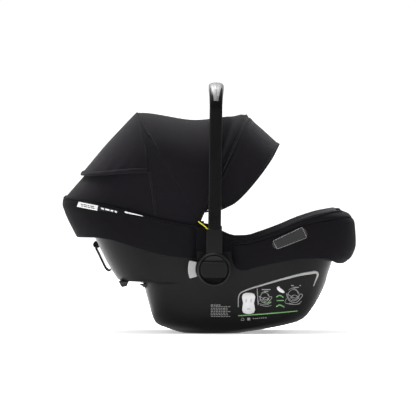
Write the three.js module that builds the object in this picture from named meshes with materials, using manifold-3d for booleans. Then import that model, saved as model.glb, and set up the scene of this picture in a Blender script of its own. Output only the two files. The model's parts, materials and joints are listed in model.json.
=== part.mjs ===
// Infant car seat with a swinging carry handle and a folding canopy, in millimetres.
// +X points to the child's feet, +Y to the child's left, +Z up; the floor is z = 0.
import * as THREE from 'three';
import { mergeVertices } from 'three/addons/utils/BufferGeometryUtils.js';
import Module from 'manifold-3d';

const wasm = await Module();
wasm.setup();

// ---------------------------------------------------------------- driving dimensions
const gap = 0.3; // kept between neighbouring solids
const wall = 4; // moulded shell
const hub = { x: 11.6, z: 148, radius: 38.3, inner: 195, outer: 215, capOuter: 220 };
const handle = { lean: 0.7, top: 418, bottomSide: 207, topSide: 196, bend: 52, width: 29, thick: 16 };
const canopy = { x: -22, z: 253, half: 182, corner: 110, cloth: 3, base: 12 };
const hoops = {
  rear: { tilt: -30.3, reach: 283, side: 175.5 },
  front: { tilt: 24, reach: 263, side: 171 },
  visor: { side: 166.5 },
};
const canopyDip = 44; // how far the roof cloth sinks between its two hoops
const shell = { rearRadius: 88, footRadius: 66, taper: 0.1, reach: 330 };
const back = { slope: 0.642, footX: -60, footZ: 150 }; // straight part of the backrest

// [height, place] pairs of the moulded shell: its back edge, its foot edge and half its width
const rearEdge = [[0, -58], [2, -68], [6, -82], [14, -109], [19, -118], [31, -126], [116, -150],
  [118, -203], [138, -217], [166, -233], [202, -251], [218, -259], [302, -292]];
const footEdge = [[0, 72], [2, 84], [7, 116], [15.5, 162], [25, 200], [34, 216], [50, 230], [75, 246],
  [109, 262], [141, 271], [159, 277], [250, 297], [302, 300]];
const halfWidth = [[0, 112], [2, 118], [6, 126], [14, 135], [25, 143], [50, 152], [100, 164], [150, 176],
  [200, 183], [250, 187], [302, 188]];
const shellLevels = [0, 2, 6, 14, 25, 34, 75, 116, 118, 141, 202, 250, 320];

// [x, height] pairs: the shell's rim, the seat's centre line, and the edges of the two covers
const rimLine = [[-345, 300], [-290, 299], [-248, 288], [-193, 276], [-134, 260.5], [-77, 247], [-32, 240],
  [0, 235], [30, 220], [60, 209], [85, 209.5], [116, 218], [162, 234], [207, 252], [253, 265], [300, 271],
  [345, 271]];
const seatLine = [[-290, back.footZ + back.slope * 230], [back.footX, back.footZ], [-5, 118], [30, 105],
  [70, 110], [120, 138], [184, 180], [253, 222], [300, 250]];
const rearCoverTop = [[-345, 307], [-298, 302], [-248, 291], [-193, 279.5], [-134, 263.6], [-77, 250], [-27, 242.5]];
const rearCoverFoot = [[-27, 170], [-89, 176], [-134, 186], [-180, 200], [-225, 213.5], [-262, 218], [-345, 216]];
const rearCoverBack = [[150, -275], [216, -298], [277, -325], [293, -330], [320, -330]];
const footCoverTop = [[50, 207], [77, 211], [116, 220], [162, 236], [207, 254], [253, 268], [290, 275.5], [345, 276]];
const footCoverFoot = [[345, 157], [298, 158], [270, 170.5], [207, 170], [162, 163], [93, 147], [73, 142],
  [58, 152], [50, 170]];
const footCoverFront = [[150, 290], [160, 306], [175, 322], [202, 330], [250, 328], [265, 321], [276, 300]];

const colours = {
  plastic: 0x2b292c, fabric: 0x262428, lining: 0x3a383c, foam: 0x2f2f33, webbing: 0x222126,
  leather: 0x2a2829, steel: 0x9a9a9c, pale: 0xbdbdbb, red: 0x8e2320, rubber: 0x19181a,
};

// ---------------------------------------------------------------- tools
const rad = THREE.MathUtils.degToRad;
const point = (x, y, z) => new THREE.Vector3(x, y, z);

// reads a list of [place, value] pairs at any place, straight between its points
function along(pairs, place) {
  const next = pairs.findIndex(([at]) => place <= at);
  if (next === 0) return pairs[0][1];
  if (next < 0) return pairs[pairs.length - 1][1];
  const [[a, p], [b, q]] = [pairs[next - 1], pairs[next]];
  return THREE.MathUtils.mapLinear(place, a, b, p, q);
}

function geometryOf(points, index) {
  const geometry = new THREE.BufferGeometry().setFromPoints(points);
  geometry.setIndex(index);
  return geometry;
}

// one closed mesh with shared corners, no flat triangles, and its faces pointing out
function closed(geometry) {
  const bare = geometry.clone();
  for (const name of Object.keys(bare.attributes)) if (name !== 'position') bare.deleteAttribute(name);
  const merged = mergeVertices(bare, 1e-3);
  const spot = (i) => new THREE.Vector3().fromBufferAttribute(merged.attributes.position, i);
  const triangles = [];
  let volume = 0;
  for (let i = 0; i < merged.index.count; i += 3) {
    const [a, b, c] = [0, 1, 2].map((k) => merged.index.getX(i + k));
    if (a === b || b === c || a === c) continue;
    triangles.push([a, b, c]);
    volume += spot(a).dot(spot(b).cross(spot(c)));
  }
  merged.setIndex(triangles.flatMap(([a, b, c]) => (volume < 0 ? [a, c, b] : [a, b, c])));
  return merged;
}

function solid(geometry) {
  const mesh = closed(geometry);
  return new wasm.Manifold(new wasm.Mesh({
    numProp: 3,
    vertProperties: Float32Array.from(mesh.attributes.position.array),
    triVerts: Uint32Array.from(mesh.index.array),
  }));
}

function geometryFrom(body) {
  const { vertProperties, triVerts } = body.getMesh();
  const geometry = new THREE.BufferGeometry();
  geometry.setAttribute('position', new THREE.BufferAttribute(Float32Array.from(vertProperties), 3));
  geometry.setIndex(Array.from(triVerts));
  return geometry;
}

const mirrored = (geometry) => closed(geometry.clone().scale(1, -1, 1));

// joins equal rings of points with walls and closes the two ends with fans
function loft(rings) {
  const count = rings[0].length;
  const index = [];
  for (let r = 0; r < rings.length - 1; r++) {
    for (let i = 0; i < count; i++) {
      const [a, b] = [r * count + i, r * count + ((i + 1) % count)];
      index.push(a, b, b + count, a, b + count, a + count);
    }
  }
  const points = rings.flat();
  [0, rings.length - 1].forEach((r) => {
    const middle = new THREE.Vector3();
    rings[r].forEach((p) => middle.addScaledVector(p, 1 / count));
    const centre = points.push(middle) - 1;
    for (let i = 0; i < count; i++) {
      const [a, b] = [r * count + i, r * count + ((i + 1) % count)];
      index.push(...(r === 0 ? [centre, b, a] : [centre, a, b]));
    }
  });
  return geometryOf(points, index);
}

// a closed sheet between two surfaces given over (u, v) from 0 to 1
function slab(across, lengthwise, outer, inner) {
  const row = across + 1;
  const side = row * (lengthwise + 1);
  const points = [];
  for (const surface of [outer, inner]) {
    for (let j = 0; j <= lengthwise; j++) {
      for (let i = 0; i <= across; i++) points.push(surface(i / across, j / lengthwise));
    }
  }
  const index = [];
  const quad = (a, b, c, d) => index.push(a, b, c, a, c, d);
  for (let j = 0; j < lengthwise; j++) {
    for (let i = 0; i < across; i++) {
      const a = j * row + i;
      quad(a, a + 1, a + row + 1, a + row);
      quad(side + a, side + a + row, side + a + row + 1, side + a + 1);
    }
  }
  const last = lengthwise * row;
  for (let i = 0; i < across; i++) {
    quad(i, side + i, side + i + 1, i + 1);
    quad(last + i, last + i + 1, side + last + i + 1, side + last + i);
  }
  for (let j = 0; j < lengthwise; j++) {
    const [a, b] = [j * row, (j + 1) * row];
    quad(a, b, side + b, side + a);
    quad(a + across, side + a + across, side + b + across, b + across);
  }
  return geometryOf(points, index);
}

// a surface moved along its own normal, away from the middle of the seat when depth is positive
function offset(surface, depth) {
  const step = 1e-3;
  return (u, v) => {
    const [u0, v0] = [Math.max(u - step, 0), Math.max(v - step, 0)];
    const [u1, v1] = [Math.min(u + step, 1), Math.min(v + step, 1)];
    const normal = surface(u1, v).sub(surface(u0, v)).cross(surface(u, v1).sub(surface(u, v0))).normalize();
    return surface(u, v).addScaledVector(normal, depth);
  };
}

// an outline in the XZ plane pushed along Y from one side to the other
function sidePrism(outline, fromY, toY) {
  const shape = new THREE.Shape(outline.map(([x, z]) => new THREE.Vector2(x, z)));
  const geometry = new THREE.ExtrudeGeometry(shape, { depth: toY - fromY, bevelEnabled: false });
  return geometry.rotateX(Math.PI / 2).translate(0, toY, 0);
}

function crossDisc(x, z, radius, fromY, toY, sides = 32) {
  const geometry = new THREE.CylinderGeometry(radius, radius, toY - fromY, sides);
  return geometry.translate(x, (fromY + toY) / 2, z);
}

function block(low, high) {
  const geometry = new THREE.BoxGeometry(high[0] - low[0], high[1] - low[1], high[2] - low[2]);
  return geometry.translate(...low.map((value, axis) => (value + high[axis]) / 2));
}

// a rod of an oval section along a curve; the first radius lies in the frame's normal
function rod(curve, steps, radiusA, radiusB = radiusA, sides = 8) {
  const section = new THREE.Shape();
  section.absellipse(0, 0, radiusA, radiusB, 0, Math.PI * 2);
  const outline = new THREE.Shape(section.getPoints(sides / 2).slice(0, -1));
  return new THREE.ExtrudeGeometry(outline, { steps, extrudePath: curve, curveSegments: 1 });
}

const seat = new THREE.Group();

function addPiece(name, shape, colour, roughness = 0.7, metalness = 0, parent = seat) {
  const geometry = shape instanceof THREE.BufferGeometry ? closed(shape) : geometryFrom(shape);
  geometry.computeVertexNormals();
  const mesh = new THREE.Mesh(geometry, new THREE.MeshStandardMaterial({ color: colour, roughness, metalness }));
  mesh.name = name;
  parent.add(mesh);
}

function addPair(name, rightGeometry, colour, roughness, metalness) {
  addPiece(`${name}_right`, rightGeometry, colour, roughness, metalness);
  addPiece(`${name}_left`, mirrored(rightGeometry), colour, roughness, metalness);
}

// ---------------------------------------------------------------- moulded shell
const narrowing = (x) => 1 - shell.taper * (x / shell.reach) ** 2;

// a rounded oblong at one height, narrower towards both ends
function planRing(z, rear, foot, half, grow) {
  const [back0, front, side] = [rear - grow, foot + grow, half + grow];
  const room = Math.min((front - back0) / 2, side) * 0.85;
  const [footR, rearR] = [shell.footRadius, shell.rearRadius].map((radius) => Math.min(radius + grow, room));
  const [cornerSteps, sideSteps] = [4, 3];
  const ring = [];
  const add = (x, y) => ring.push(point(x, y * narrowing(x), z));
  [[front - footR, 1, footR], [back0 + rearR, 1, rearR], [back0 + rearR, -1, rearR],
    [front - footR, -1, footR]].forEach(([cx, hand, r], corner, corners) => {
    for (let i = 0; i <= cornerSteps; i++) {
      const angle = (corner + i / cornerSteps) * (Math.PI / 2);
      add(cx + r * Math.cos(angle), hand * (side - r) + r * Math.sin(angle));
    }
    if (corner % 2) return;
    for (let i = 1; i < sideSteps; i++) {
      add(THREE.MathUtils.lerp(cx, corners[corner + 1][0], i / sideSteps), hand * side);
    }
  });
  return ring;
}

const shellRing = (z, grow, drop = 0) => planRing(z, along(rearEdge, z - drop), along(footEdge, z - drop),
  along(halfWidth, z - drop), grow);
const shellSolid = (grow) => solid(loft(shellLevels.map((z) => shellRing(z, grow))));
const shellHollow = (grow) => solid(loft(shellLevels.map((z) => shellRing(z + wall, grow - wall, wall))));
const smooth = (pairs) => new THREE.SplineCurve(pairs.map(([x, z]) => new THREE.Vector2(x, z)))
  .getPoints(pairs.length * 2).map(({ x, y }) => [x, y]);
const everythingAbove = (line) => solid(sidePrism([...smooth(line), [400, 800], [-400, 800]], -300, 300));

const lever = { x: -258, z: 200, half: 55, pin: 2, barrel: 5 };
const latch = { y: 95, half: 9, low: 100, high: 113 };

function outerShell() {
  let body = shellSolid(0).subtract(shellHollow(0)).subtract(everythingAbove(rimLine));
  for (const hand of [-1, 1]) {
    const [y0, y1] = [hand * latch.y - latch.half - 1, hand * latch.y + latch.half + 1];
    body = body.subtract(solid(block([-175, y0, latch.low - 1], [-120, y1, latch.high + 1])));
    const ear = solid(sidePrism([[-268, 197], [-264, 208], [-252, 212], [-244, 196], [-254, 190]],
      hand * (lever.half + 5) - 4, hand * (lever.half + 5) + 4)).subtract(shellHollow(0));
    body = body.add(ear).subtract(solid(crossDisc(lever.x, lever.z, lever.pin + 0.2, -80, 80, 12)));
  }
  return body;
}

addPiece('outer_shell', outerShell(), colours.plastic, 0.55);

// ---------------------------------------------------------------- covers
function rearCover() {
  const levels = [150, 216, 250, 293, 320];
  const bandSolid = (grow) => solid(loft(levels.map((z) => planRing(z, along(rearCoverBack, z), 250,
    along(halfWidth, z) + 6, grow))));
  const band = bandSolid(0).subtract(shellSolid(gap));
  const region = solid(sidePrism([...smooth(rearCoverTop), ...smooth(rearCoverFoot)], -300, 300));
  const lowered = rearCoverTop.map(([x, z]) => [x, z - wall]);
  const pocket = bandSolid(-wall).subtract(everythingAbove(lowered))
    .subtract(solid(block([-258, -300, 0], [400, 300, 800])));
  return band.intersect(region).subtract(pocket);
}

addPiece('rear_cover', rearCover(), colours.fabric, 0.5);

const footCoverSide = (z) => along(halfWidth, z) + 7;

function footCover() {
  const levels = [135, 150, 160, 175, 202, 250, 265, 280];
  const band = solid(loft(levels.map((z) => planRing(z, -200, along(footCoverFront, z), footCoverSide(z), 0))));
  const region = solid(sidePrism([...smooth(footCoverTop), ...smooth(footCoverFoot)], -300, 300));
  return band.subtract(shellSolid(gap)).intersect(region);
}

addPiece('foot_cover', footCover(), colours.fabric, 0.9);

// a stitched label plate that lies on the right side of the foot cover
function sideTag() {
  const corners = [[141, 206], [219, 240], [224, 216], [152, 191]];
  const place = (lift) => (u, v) => {
    const [a, b, c, d] = corners;
    const x = (a[0] * (1 - u) + b[0] * u) * (1 - v) + (d[0] * (1 - u) + c[0] * u) * v;
    const z = (a[1] * (1 - u) + b[1] * u) * (1 - v) + (d[1] * (1 - u) + c[1] * u) * v;
    return point(x, -footCoverSide(z) * narrowing(x) - lift, z);
  };
  return slab(8, 3, place(3), place(1.2));
}

addPiece('side_tag', sideTag(), colours.leather, 0.6);

// ---------------------------------------------------------------- liner and pads
const padPlan = planRing(0, -284, 290, 178, 0);

function planSpot(reach, turn) {
  const place = turn * padPlan.length;
  const [a, b] = [padPlan[Math.floor(place) % padPlan.length], padPlan[Math.ceil(place) % padPlan.length]];
  const edge = a.clone().lerp(b, place - Math.floor(place));
  return [edge.x * reach, edge.y * reach];
}

// height of the seat's bowl at x and at a share of the way out to the rim
function bowlHeight(x, reach) {
  const floor = along(seatLine, x);
  return floor + (along(rimLine, x) - floor) * reach ** 6;
}

function bowl(top, bottom, plan = 1) {
  const surface = (lift) => (u, v) => {
    const reach = Math.max(v, 1e-6);
    const [x, y] = planSpot(reach * plan, u);
    return point(x, y, bowlHeight(x, reach * plan) + lift);
  };
  return slab(padPlan.length, 7, surface(top), surface(bottom));
}

const canopyPocket = solid(block([canopy.x - 14, -300, 218], [canopy.x + 14, 300, 300]))
  .subtract(solid(block([-100, -158, 0], [100, 158, 400])));
const interior = shellHollow(-gap);
const shellWall = shellSolid(gap).subtract(interior);

addPiece('foam_liner', solid(bowl(0, -26)).intersect(interior).subtract(canopyPocket), colours.foam, 0.9);
addPiece('seat_pad', solid(bowl(16, gap)).subtract(shellWall).subtract(canopyPocket), colours.fabric, 0.9);

// how far out a place lies, as a share of the way to the rim
function reachAt(x, y) {
  return Math.max(...padPlan.map((p, k) => {
    const edge = padPlan[(k + 1) % padPlan.length].clone().sub(p);
    return (x * edge.y - y * edge.x) / (p.x * edge.y - p.y * edge.x);
  }));
}

// a pillow or a strap that lies on the seat: its middle line runs in plan, lifted off the bowl
function lying(fromX, toX, middleY, half, low, high, across = 4, lengthwise = 12) {
  const surface = (lift) => (u, v) => {
    const x = THREE.MathUtils.lerp(fromX, toX, v);
    const y = middleY(v) + (u * 2 - 1) * half(v);
    return point(x, y, bowlHeight(x, reachAt(x, y)) + lift);
  };
  return slab(across, lengthwise, surface(high), surface(low));
}

const insertHalf = (v) => 108 - 26 * (2 * v - 1) ** 4;
const insert = solid(lying(-122, 92, () => 0, insertHalf, 14, 36, 8)).subtract(solid(bowl(16 + gap, -20)));
addPiece('newborn_insert', insert, colours.lining, 0.9);

// ---------------------------------------------------------------- harness
const strapLine = (v) => -48 + 28 * v;
addPair('shoulder_strap', lying(-121, 4, strapLine, () => 18, 38, 40, 2), colours.webbing, 0.8);
addPair('shoulder_pad', lying(-112, -28, (v) => strapLine(v * 0.64 + 0.07) - 3, () => 24, 41, 49, 3, 8),
  colours.fabric, 0.9);

const buckle = { x: 30, z: 153 };
addPair('buckle_tongue', block([5, -24, buckle.z], [18, -3, buckle.z + 4]), colours.steel, 0.35, 0.9);

function buckleBody() {
  const body = solid(block([18.4, -27, buckle.z - 6], [64, 27, buckle.z + 15]));
  return body.subtract(solid(block([24, -13, buckle.z + 7], [50, 13, buckle.z + 30])));
}

addPiece('buckle_body', buckleBody(), colours.plastic, 0.4);
addPiece('buckle_button', block([24.5, -12.5, buckle.z + 12], [49.5, 12.5, buckle.z + 18]), colours.red, 0.4);
addPiece('crotch_strap', lying(64.5, 90, () => 0, () => 17, 38, 40.5, 2, 4), colours.webbing, 0.8);

const adjuster = { x: 168, half: 24, reach: 26, pocket: 11 };

// a patch of the seat's slope round the adjuster, between two lifts
const adjusterPatch = (halfLength, halfSide, low, high) => lying(adjuster.x - halfLength,
  adjuster.x + halfLength, () => 0, () => halfSide, low, high, 2, 4);
const adjusterPlate = solid(adjusterPatch(adjuster.reach, adjuster.half, 17.5, 26));
const adjusterPocket = solid(adjusterPatch(adjuster.pocket, adjuster.pocket + 1, 20.5, 60));
addPiece('adjuster_housing', adjusterPlate.subtract(adjusterPocket), colours.plastic, 0.4);
addPiece('adjuster_button', adjusterPatch(adjuster.pocket - 0.5, adjuster.pocket + 0.5, 24.5, 29.5),
  colours.plastic, 0.4);
addPiece('pull_strap', lying(adjuster.x + 26.5, adjuster.x + 78, () => 0, () => 13, 18.5, 21, 2, 6),
  colours.webbing, 0.8);

// ---------------------------------------------------------------- headrest, which slides up the back
const headrest = { x: -150, length: 112, half: 98, thick: 9, wing: 48, lift: 26 };

// a wide U across the seat: a flat back with two raised wings, pushed along the backrest
function headrestChannel(outerHalf, wing, thick, lift) {
  const turn = 30;
  const outline = new THREE.Shape();
  outline.moveTo(-outerHalf, lift + wing);
  outline.lineTo(-outerHalf, lift + turn);
  outline.absarc(-outerHalf + turn, lift + turn, turn, Math.PI, Math.PI * 1.5, false);
  outline.absarc(outerHalf - turn, lift + turn, turn, Math.PI * 1.5, Math.PI * 2, false);
  outline.lineTo(outerHalf, lift + wing);
  outline.lineTo(outerHalf - thick, lift + wing);
  outline.absarc(outerHalf - turn, lift + turn, turn - thick, 0, -Math.PI / 2, true);
  outline.absarc(-outerHalf + turn, lift + turn, turn - thick, -Math.PI / 2, -Math.PI, true);
  outline.lineTo(-outerHalf + thick, lift + wing);
  return outline;
}

const headrestGroup = new THREE.Group();
headrestGroup.position.set(headrest.x, 0, along(seatLine, headrest.x));
headrestGroup.rotation.y = Math.atan(back.slope);
seat.add(headrestGroup);

function addHeadrest(name, outline, from, to, colour) {
  const geometry = new THREE.ExtrudeGeometry(outline, { depth: to - from, bevelEnabled: false, curveSegments: 6 });
  geometry.applyMatrix4(new THREE.Matrix4().makeBasis(point(0, -1, 0), point(0, 0, 1), point(-1, 0, 0)));
  addPiece(name, geometry.translate(-from, 0, 0), colour, 0.8, 0, headrestGroup);
}

addHeadrest('headrest_board', headrestChannel(headrest.half, headrest.wing, headrest.thick / 2, headrest.lift),
  0, headrest.length, colours.plastic);
addHeadrest('headrest_pad', headrestChannel(headrest.half - 4.9, headrest.wing - 2, 15, headrest.lift + 4.9),
  2, headrest.length - 2, colours.lining);

// ---------------------------------------------------------------- handle and its hubs
function handlePath() {
  const [low, top] = [82, handle.top - handle.thick / 2];
  const lean = (handle.bottomSide - handle.topSide) / (top - low);
  const side = (z) => handle.bottomSide - (z - low) * lean;
  const path = [];
  const start = top - handle.bend;
  for (let i = 0; i <= 8; i++) path.push(point(0, -side(low + ((start - low) * i) / 8), low + ((start - low) * i) / 8));
  for (let i = 1; i <= 7; i++) {
    const angle = (i / 8) * (Math.PI / 2);
    path.push(point(0, -side(start) + handle.bend * (1 - Math.cos(angle)), start + handle.bend * Math.sin(angle)));
  }
  for (let i = 0; i <= 2; i++) path.push(point(0, (-side(start) + handle.bend) * (1 - i / 2), top));
  const other = path.slice(0, -1).reverse().map((p) => point(0, -p.y, p.z));
  return [...path, ...other];
}

// an oval bar through the path's points: its width lies along X, its thickness across the path
function ovalBar(path, width, thick, sides = 12) {
  const rings = path.map((p, i) => {
    const tangent = path[Math.min(i + 1, path.length - 1)].clone().sub(path[Math.max(i - 1, 0)]).normalize();
    const across = tangent.clone().cross(point(1, 0, 0));
    return Array.from({ length: sides }, (_, k) => {
      const angle = (k / sides) * Math.PI * 2;
      return p.clone().add(point((width / 2) * Math.cos(angle), 0, 0))
        .addScaledVector(across, (thick / 2) * Math.sin(angle));
    });
  });
  return loft(rings);
}

const handleGroup = new THREE.Group();
handleGroup.position.set(hub.x, 0, hub.z);
handleGroup.rotation.y = rad(handle.lean);
seat.add(handleGroup);

const path = handlePath();
const gripPath = path.filter((p) => p.z > handle.top - 46);
const tube = solid(ovalBar(path, handle.width, handle.thick));
const gripOuter = solid(ovalBar(gripPath, handle.width + 5, handle.thick + 2));
addPiece('handle_grip', gripOuter.subtract(solid(ovalBar(path, handle.width + 0.6, handle.thick + 0.6))),
  colours.leather, 0.6, 0, handleGroup);
addPiece('handle_tube', tube, colours.plastic, 0.5, 0, handleGroup);

const buttonRadius = 32;

// the round end of the handle: a drum with a pocket for its button and an arm up to the bar
function hubDrum() {
  const arm = [[-17.8, 0], [-17.8, 78], [-14, 90], [14, 90], [17.8, 78], [17.8, 0]];
  const drum = solid(crossDisc(0, 0, hub.radius, -hub.outer, -hub.inner, 40));
  const neck = solid(sidePrism(arm, -hub.outer, -hub.inner - 2));
  const socket = solid(ovalBar(path.slice(0, 4), handle.width + 0.6, handle.thick + 0.6, 12));
  return drum.add(neck).subtract(socket)
    .subtract(solid(crossDisc(0, 0, buttonRadius + 0.6, -300, -hub.inner - 7, 40)))
    .subtract(solid(crossDisc(0, 0, 8.3, -300, 0, 20)));
}

const drum = geometryFrom(hubDrum());
addPiece('hub_right', drum, colours.plastic, 0.45, 0, handleGroup);
addPiece('hub_left', mirrored(drum), colours.plastic, 0.45, 0, handleGroup);

// the release button: a disc with a raised bar across it, held out by a coil spring
function hubButton() {
  const disc = solid(crossDisc(hub.x, hub.z, buttonRadius, -hub.outer + 0.5, -hub.outer + 6, 40));
  const bar = solid(block([hub.x - 40, -hub.capOuter, hub.z - 17], [hub.x + 40, -hub.outer + 2, hub.z + 17]));
  return disc.add(bar.intersect(solid(crossDisc(hub.x, hub.z, buttonRadius - 1.5, -300, -100, 40))));
}

addPair('hub_button', geometryFrom(hubButton()), colours.plastic, 0.4);

function buttonSpring() {
  const [turns, radius, wire] = [2.5, 20, 0.8];
  const [from, to] = [hub.inner + 7 + wire + gap, hub.outer - 6 - wire - gap];
  const coil = Array.from({ length: 31 }, (_, i) => {
    const angle = (i / 30) * turns * Math.PI * 2;
    return point(hub.x + radius * Math.cos(angle), -from - ((to - from) * i) / 30, hub.z + radius * Math.sin(angle));
  });
  return rod(new THREE.CatmullRomCurve3(coil), 40, wire, wire, 4);
}

addPair('button_spring', buttonSpring(), colours.steel, 0.35, 0.9);

// the fixed toothed disc on the shell that the hub turns against, and the axle through both
function hubSocket() {
  return solid(crossDisc(hub.x, hub.z, 36, -hub.inner + 0.6, -150, 36)).subtract(shellSolid(gap))
    .subtract(solid(crossDisc(hub.x, hub.z, 7.6, -300, 0, 20)));
}

addPair('hub_socket', geometryFrom(hubSocket()), colours.plastic, 0.6);
addPair('hub_axle', crossDisc(hub.x, hub.z, 7.2, -hub.inner - 6.5, -178.5, 20), colours.steel, 0.35, 0.9);

// the pale belt guide beside the hub: a crescent between two arcs round the hub's centre
function beltGuide() {
  const outline = [];
  for (const [radius, from, to] of [[41, 158, 206], [59, 202, 161]]) {
    for (let i = 0; i <= 6; i++) {
      const angle = rad(THREE.MathUtils.lerp(from, to, i / 6));
      outline.push([hub.x + radius * Math.cos(angle), hub.z + radius * Math.sin(angle)]);
    }
  }
  return solid(sidePrism(outline, -193, -150)).subtract(shellSolid(gap)).subtract(solid(sidePrism(
    [...smooth(rearCoverTop), ...smooth(rearCoverFoot).map(([x, z]) => [x, z - 1])], -300, 300)));
}

addPair('belt_guide', geometryFrom(beltGuide()), colours.pale, 0.5);

// ---------------------------------------------------------------- canopy
// half an arch: up from the pivot, round the corner and across to the middle
function archPath(half, reach) {
  const corner = canopy.corner;
  const path2d = new THREE.Path();
  path2d.moveTo(-half, canopy.base);
  path2d.lineTo(-half, reach - corner);
  path2d.absarc(-half + corner, reach - corner, corner, Math.PI, Math.PI / 2, true);
  path2d.lineTo(half - corner, reach);
  path2d.absarc(half - corner, reach - corner, corner, Math.PI / 2, 0, true);
  path2d.lineTo(half, canopy.base);
  return path2d;
}

// the arch turned about the pivot line to its tilt
function archSpot(tilt, spot) {
  const turn = rad(tilt);
  return point(canopy.x + spot.y * Math.sin(turn), spot.x, canopy.z + spot.y * Math.cos(turn));
}

function roof(u, v) {
  const tilt = THREE.MathUtils.lerp(hoops.rear.tilt, hoops.front.tilt, v);
  const reach = THREE.MathUtils.lerp(hoops.rear.reach, hoops.front.reach, v) - canopyDip * Math.sin(Math.PI * v);
  return archSpot(tilt, archPath(canopy.half, reach).getPointAt(u));
}

// the line on which the rear cloth meets the rear cover, from one pivot round the back to the other
const rearRing = planRing(0, -326, 250, 186, 0).filter((p) => p.x < canopy.x - 8);
const rearRim = new THREE.CatmullRomCurve3([point(canopy.x - 8, 184, 0), ...rearRing, point(canopy.x - 8, -184, 0)]
  .map((p) => point(p.x, -p.y, along(rearCoverTop, p.x) + 3)), false, 'catmullrom', 0.1);
const rearCloth = (u, v) => archSpot(hoops.rear.tilt, archPath(canopy.half, hoops.rear.reach).getPointAt(u))
  .lerp(rearRim.getPointAt(u), v);

// the visor's free edge: [x, height] by the share of the front arch's height
const visorEdge = new THREE.SplineCurve([[-17, 262], [-6, 281], [27, 287], [48, 295], [71, 309], [105, 345],
  [139, 391], [159, 427]].map(([x, z]) => new THREE.Vector2(x, z)));

function visorSpot(half, u, inset = 0) {
  const spot = archPath(half, hoops.front.reach - inset).getPointAt(u);
  const share = Math.min(spot.y / (hoops.front.reach - inset), 1);
  const edge = visorEdge.getPoint(share);
  return point(edge.x - inset * 0.7, spot.x, edge.y - inset * 0.7);
}

const visor = (u, v) => archSpot(hoops.front.tilt, archPath(canopy.half, hoops.front.reach).getPointAt(u))
  .lerp(visorSpot(canopy.half, u), v);

function cloth(name, surface, from, to, across = 20, lengthwise = 4) {
  const part = (u, v) => surface(u, THREE.MathUtils.lerp(from, to, v));
  addPiece(name, slab(across, lengthwise, part, offset(part, canopy.cloth)), colours.fabric, 0.9);
}

cloth('canopy_roof', roof, 0.012, 0.988);
cloth('canopy_rear', rearCloth, 0.012, 1);
cloth('canopy_visor', visor, 0.03, 1);

function hoop(name, spots) {
  addPiece(name, rod(new THREE.CatmullRomCurve3(spots), 26, 2, 2, 6), colours.plastic, 0.5);
}

const shares = Array.from({ length: 41 }, (_, i) => i / 40);
const hoopSpots = ({ tilt, reach, side }) => shares
  .map((u) => archSpot(tilt, archPath(side - 0.5, reach - 9).getPointAt(u)));
hoop('rear_hoop', hoopSpots(hoops.rear));
hoop('front_hoop', hoopSpots(hoops.front));
hoop('visor_hoop', shares.slice(2, -2).map((u) => visorSpot(hoops.visor.side, u, 9)));

// the pivot block on each side that the three hoops clip into
function canopyMount() {
  const [outer, inner] = [-178.6, -161];
  const body = solid(block([canopy.x - 11, outer, 223], [canopy.x + 11, inner, 248]));
  const pin = solid(crossDisc(canopy.x, canopy.z, 5, outer, inner, 16));
  const web = solid(block([canopy.x - 4, outer, 247], [canopy.x + 4, inner, 252]));
  return body.add(web).add(pin);
}

addPair('canopy_mount', geometryFrom(canopyMount()), colours.plastic, 0.6);

// ---------------------------------------------------------------- release lever and base latch
function releaseLever() {
  const y = lever.half;
  const strip = sidePrism([[-261, 199], [-257.5, 193], [-237, 150], [-230, 145.5], [-228, 148.5], [-234, 152],
    [-254, 195], [-255, 201]], -y, y);
  return solid(strip).add(solid(crossDisc(lever.x, lever.z, lever.barrel, -y, y, 16)))
    .subtract(solid(crossDisc(lever.x, lever.z, lever.pin + 0.1, -y - 1, y + 1, 12)));
}

addPiece('release_lever', releaseLever(), colours.plastic, 0.45);
addPiece('lever_pin', crossDisc(lever.x, lever.z, lever.pin - 0.1, -lever.half - 9, lever.half + 9, 12),
  colours.steel, 0.35, 0.9);

const hook = [[-153, latch.low + 1], [-160, latch.high - 4], [-157, latch.high - 1], [-120, latch.high - 1],
  [-120, latch.low + 1]];
addPair('latch_hook', sidePrism(hook, -latch.y - latch.half, -latch.y + latch.half), colours.steel, 0.4, 0.8);
addPiece('latch_crossbar', block([-119.6, -latch.y - 14, latch.low], [-114, latch.y + 14, latch.high]),
  colours.steel, 0.4, 0.8);

const footBlock = [[-205, 116], [-182, 116], [-184, 104], [-198, 103]];
addPair('rear_foot', solidUnderShell(footBlock, -120, -60), colours.rubber, 0.9);

function solidUnderShell(outline, fromY, toY) {
  return geometryFrom(solid(sidePrism(outline, fromY, toY)).subtract(shellSolid(gap)));
}

export default seat;
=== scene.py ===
import json
import math
from contextlib import contextmanager

import bmesh
import bpy
import numpy as np
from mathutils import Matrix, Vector
from mathutils.bvhtree import BVHTree
from mathutils.geometry import tessellate_polygon

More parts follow.
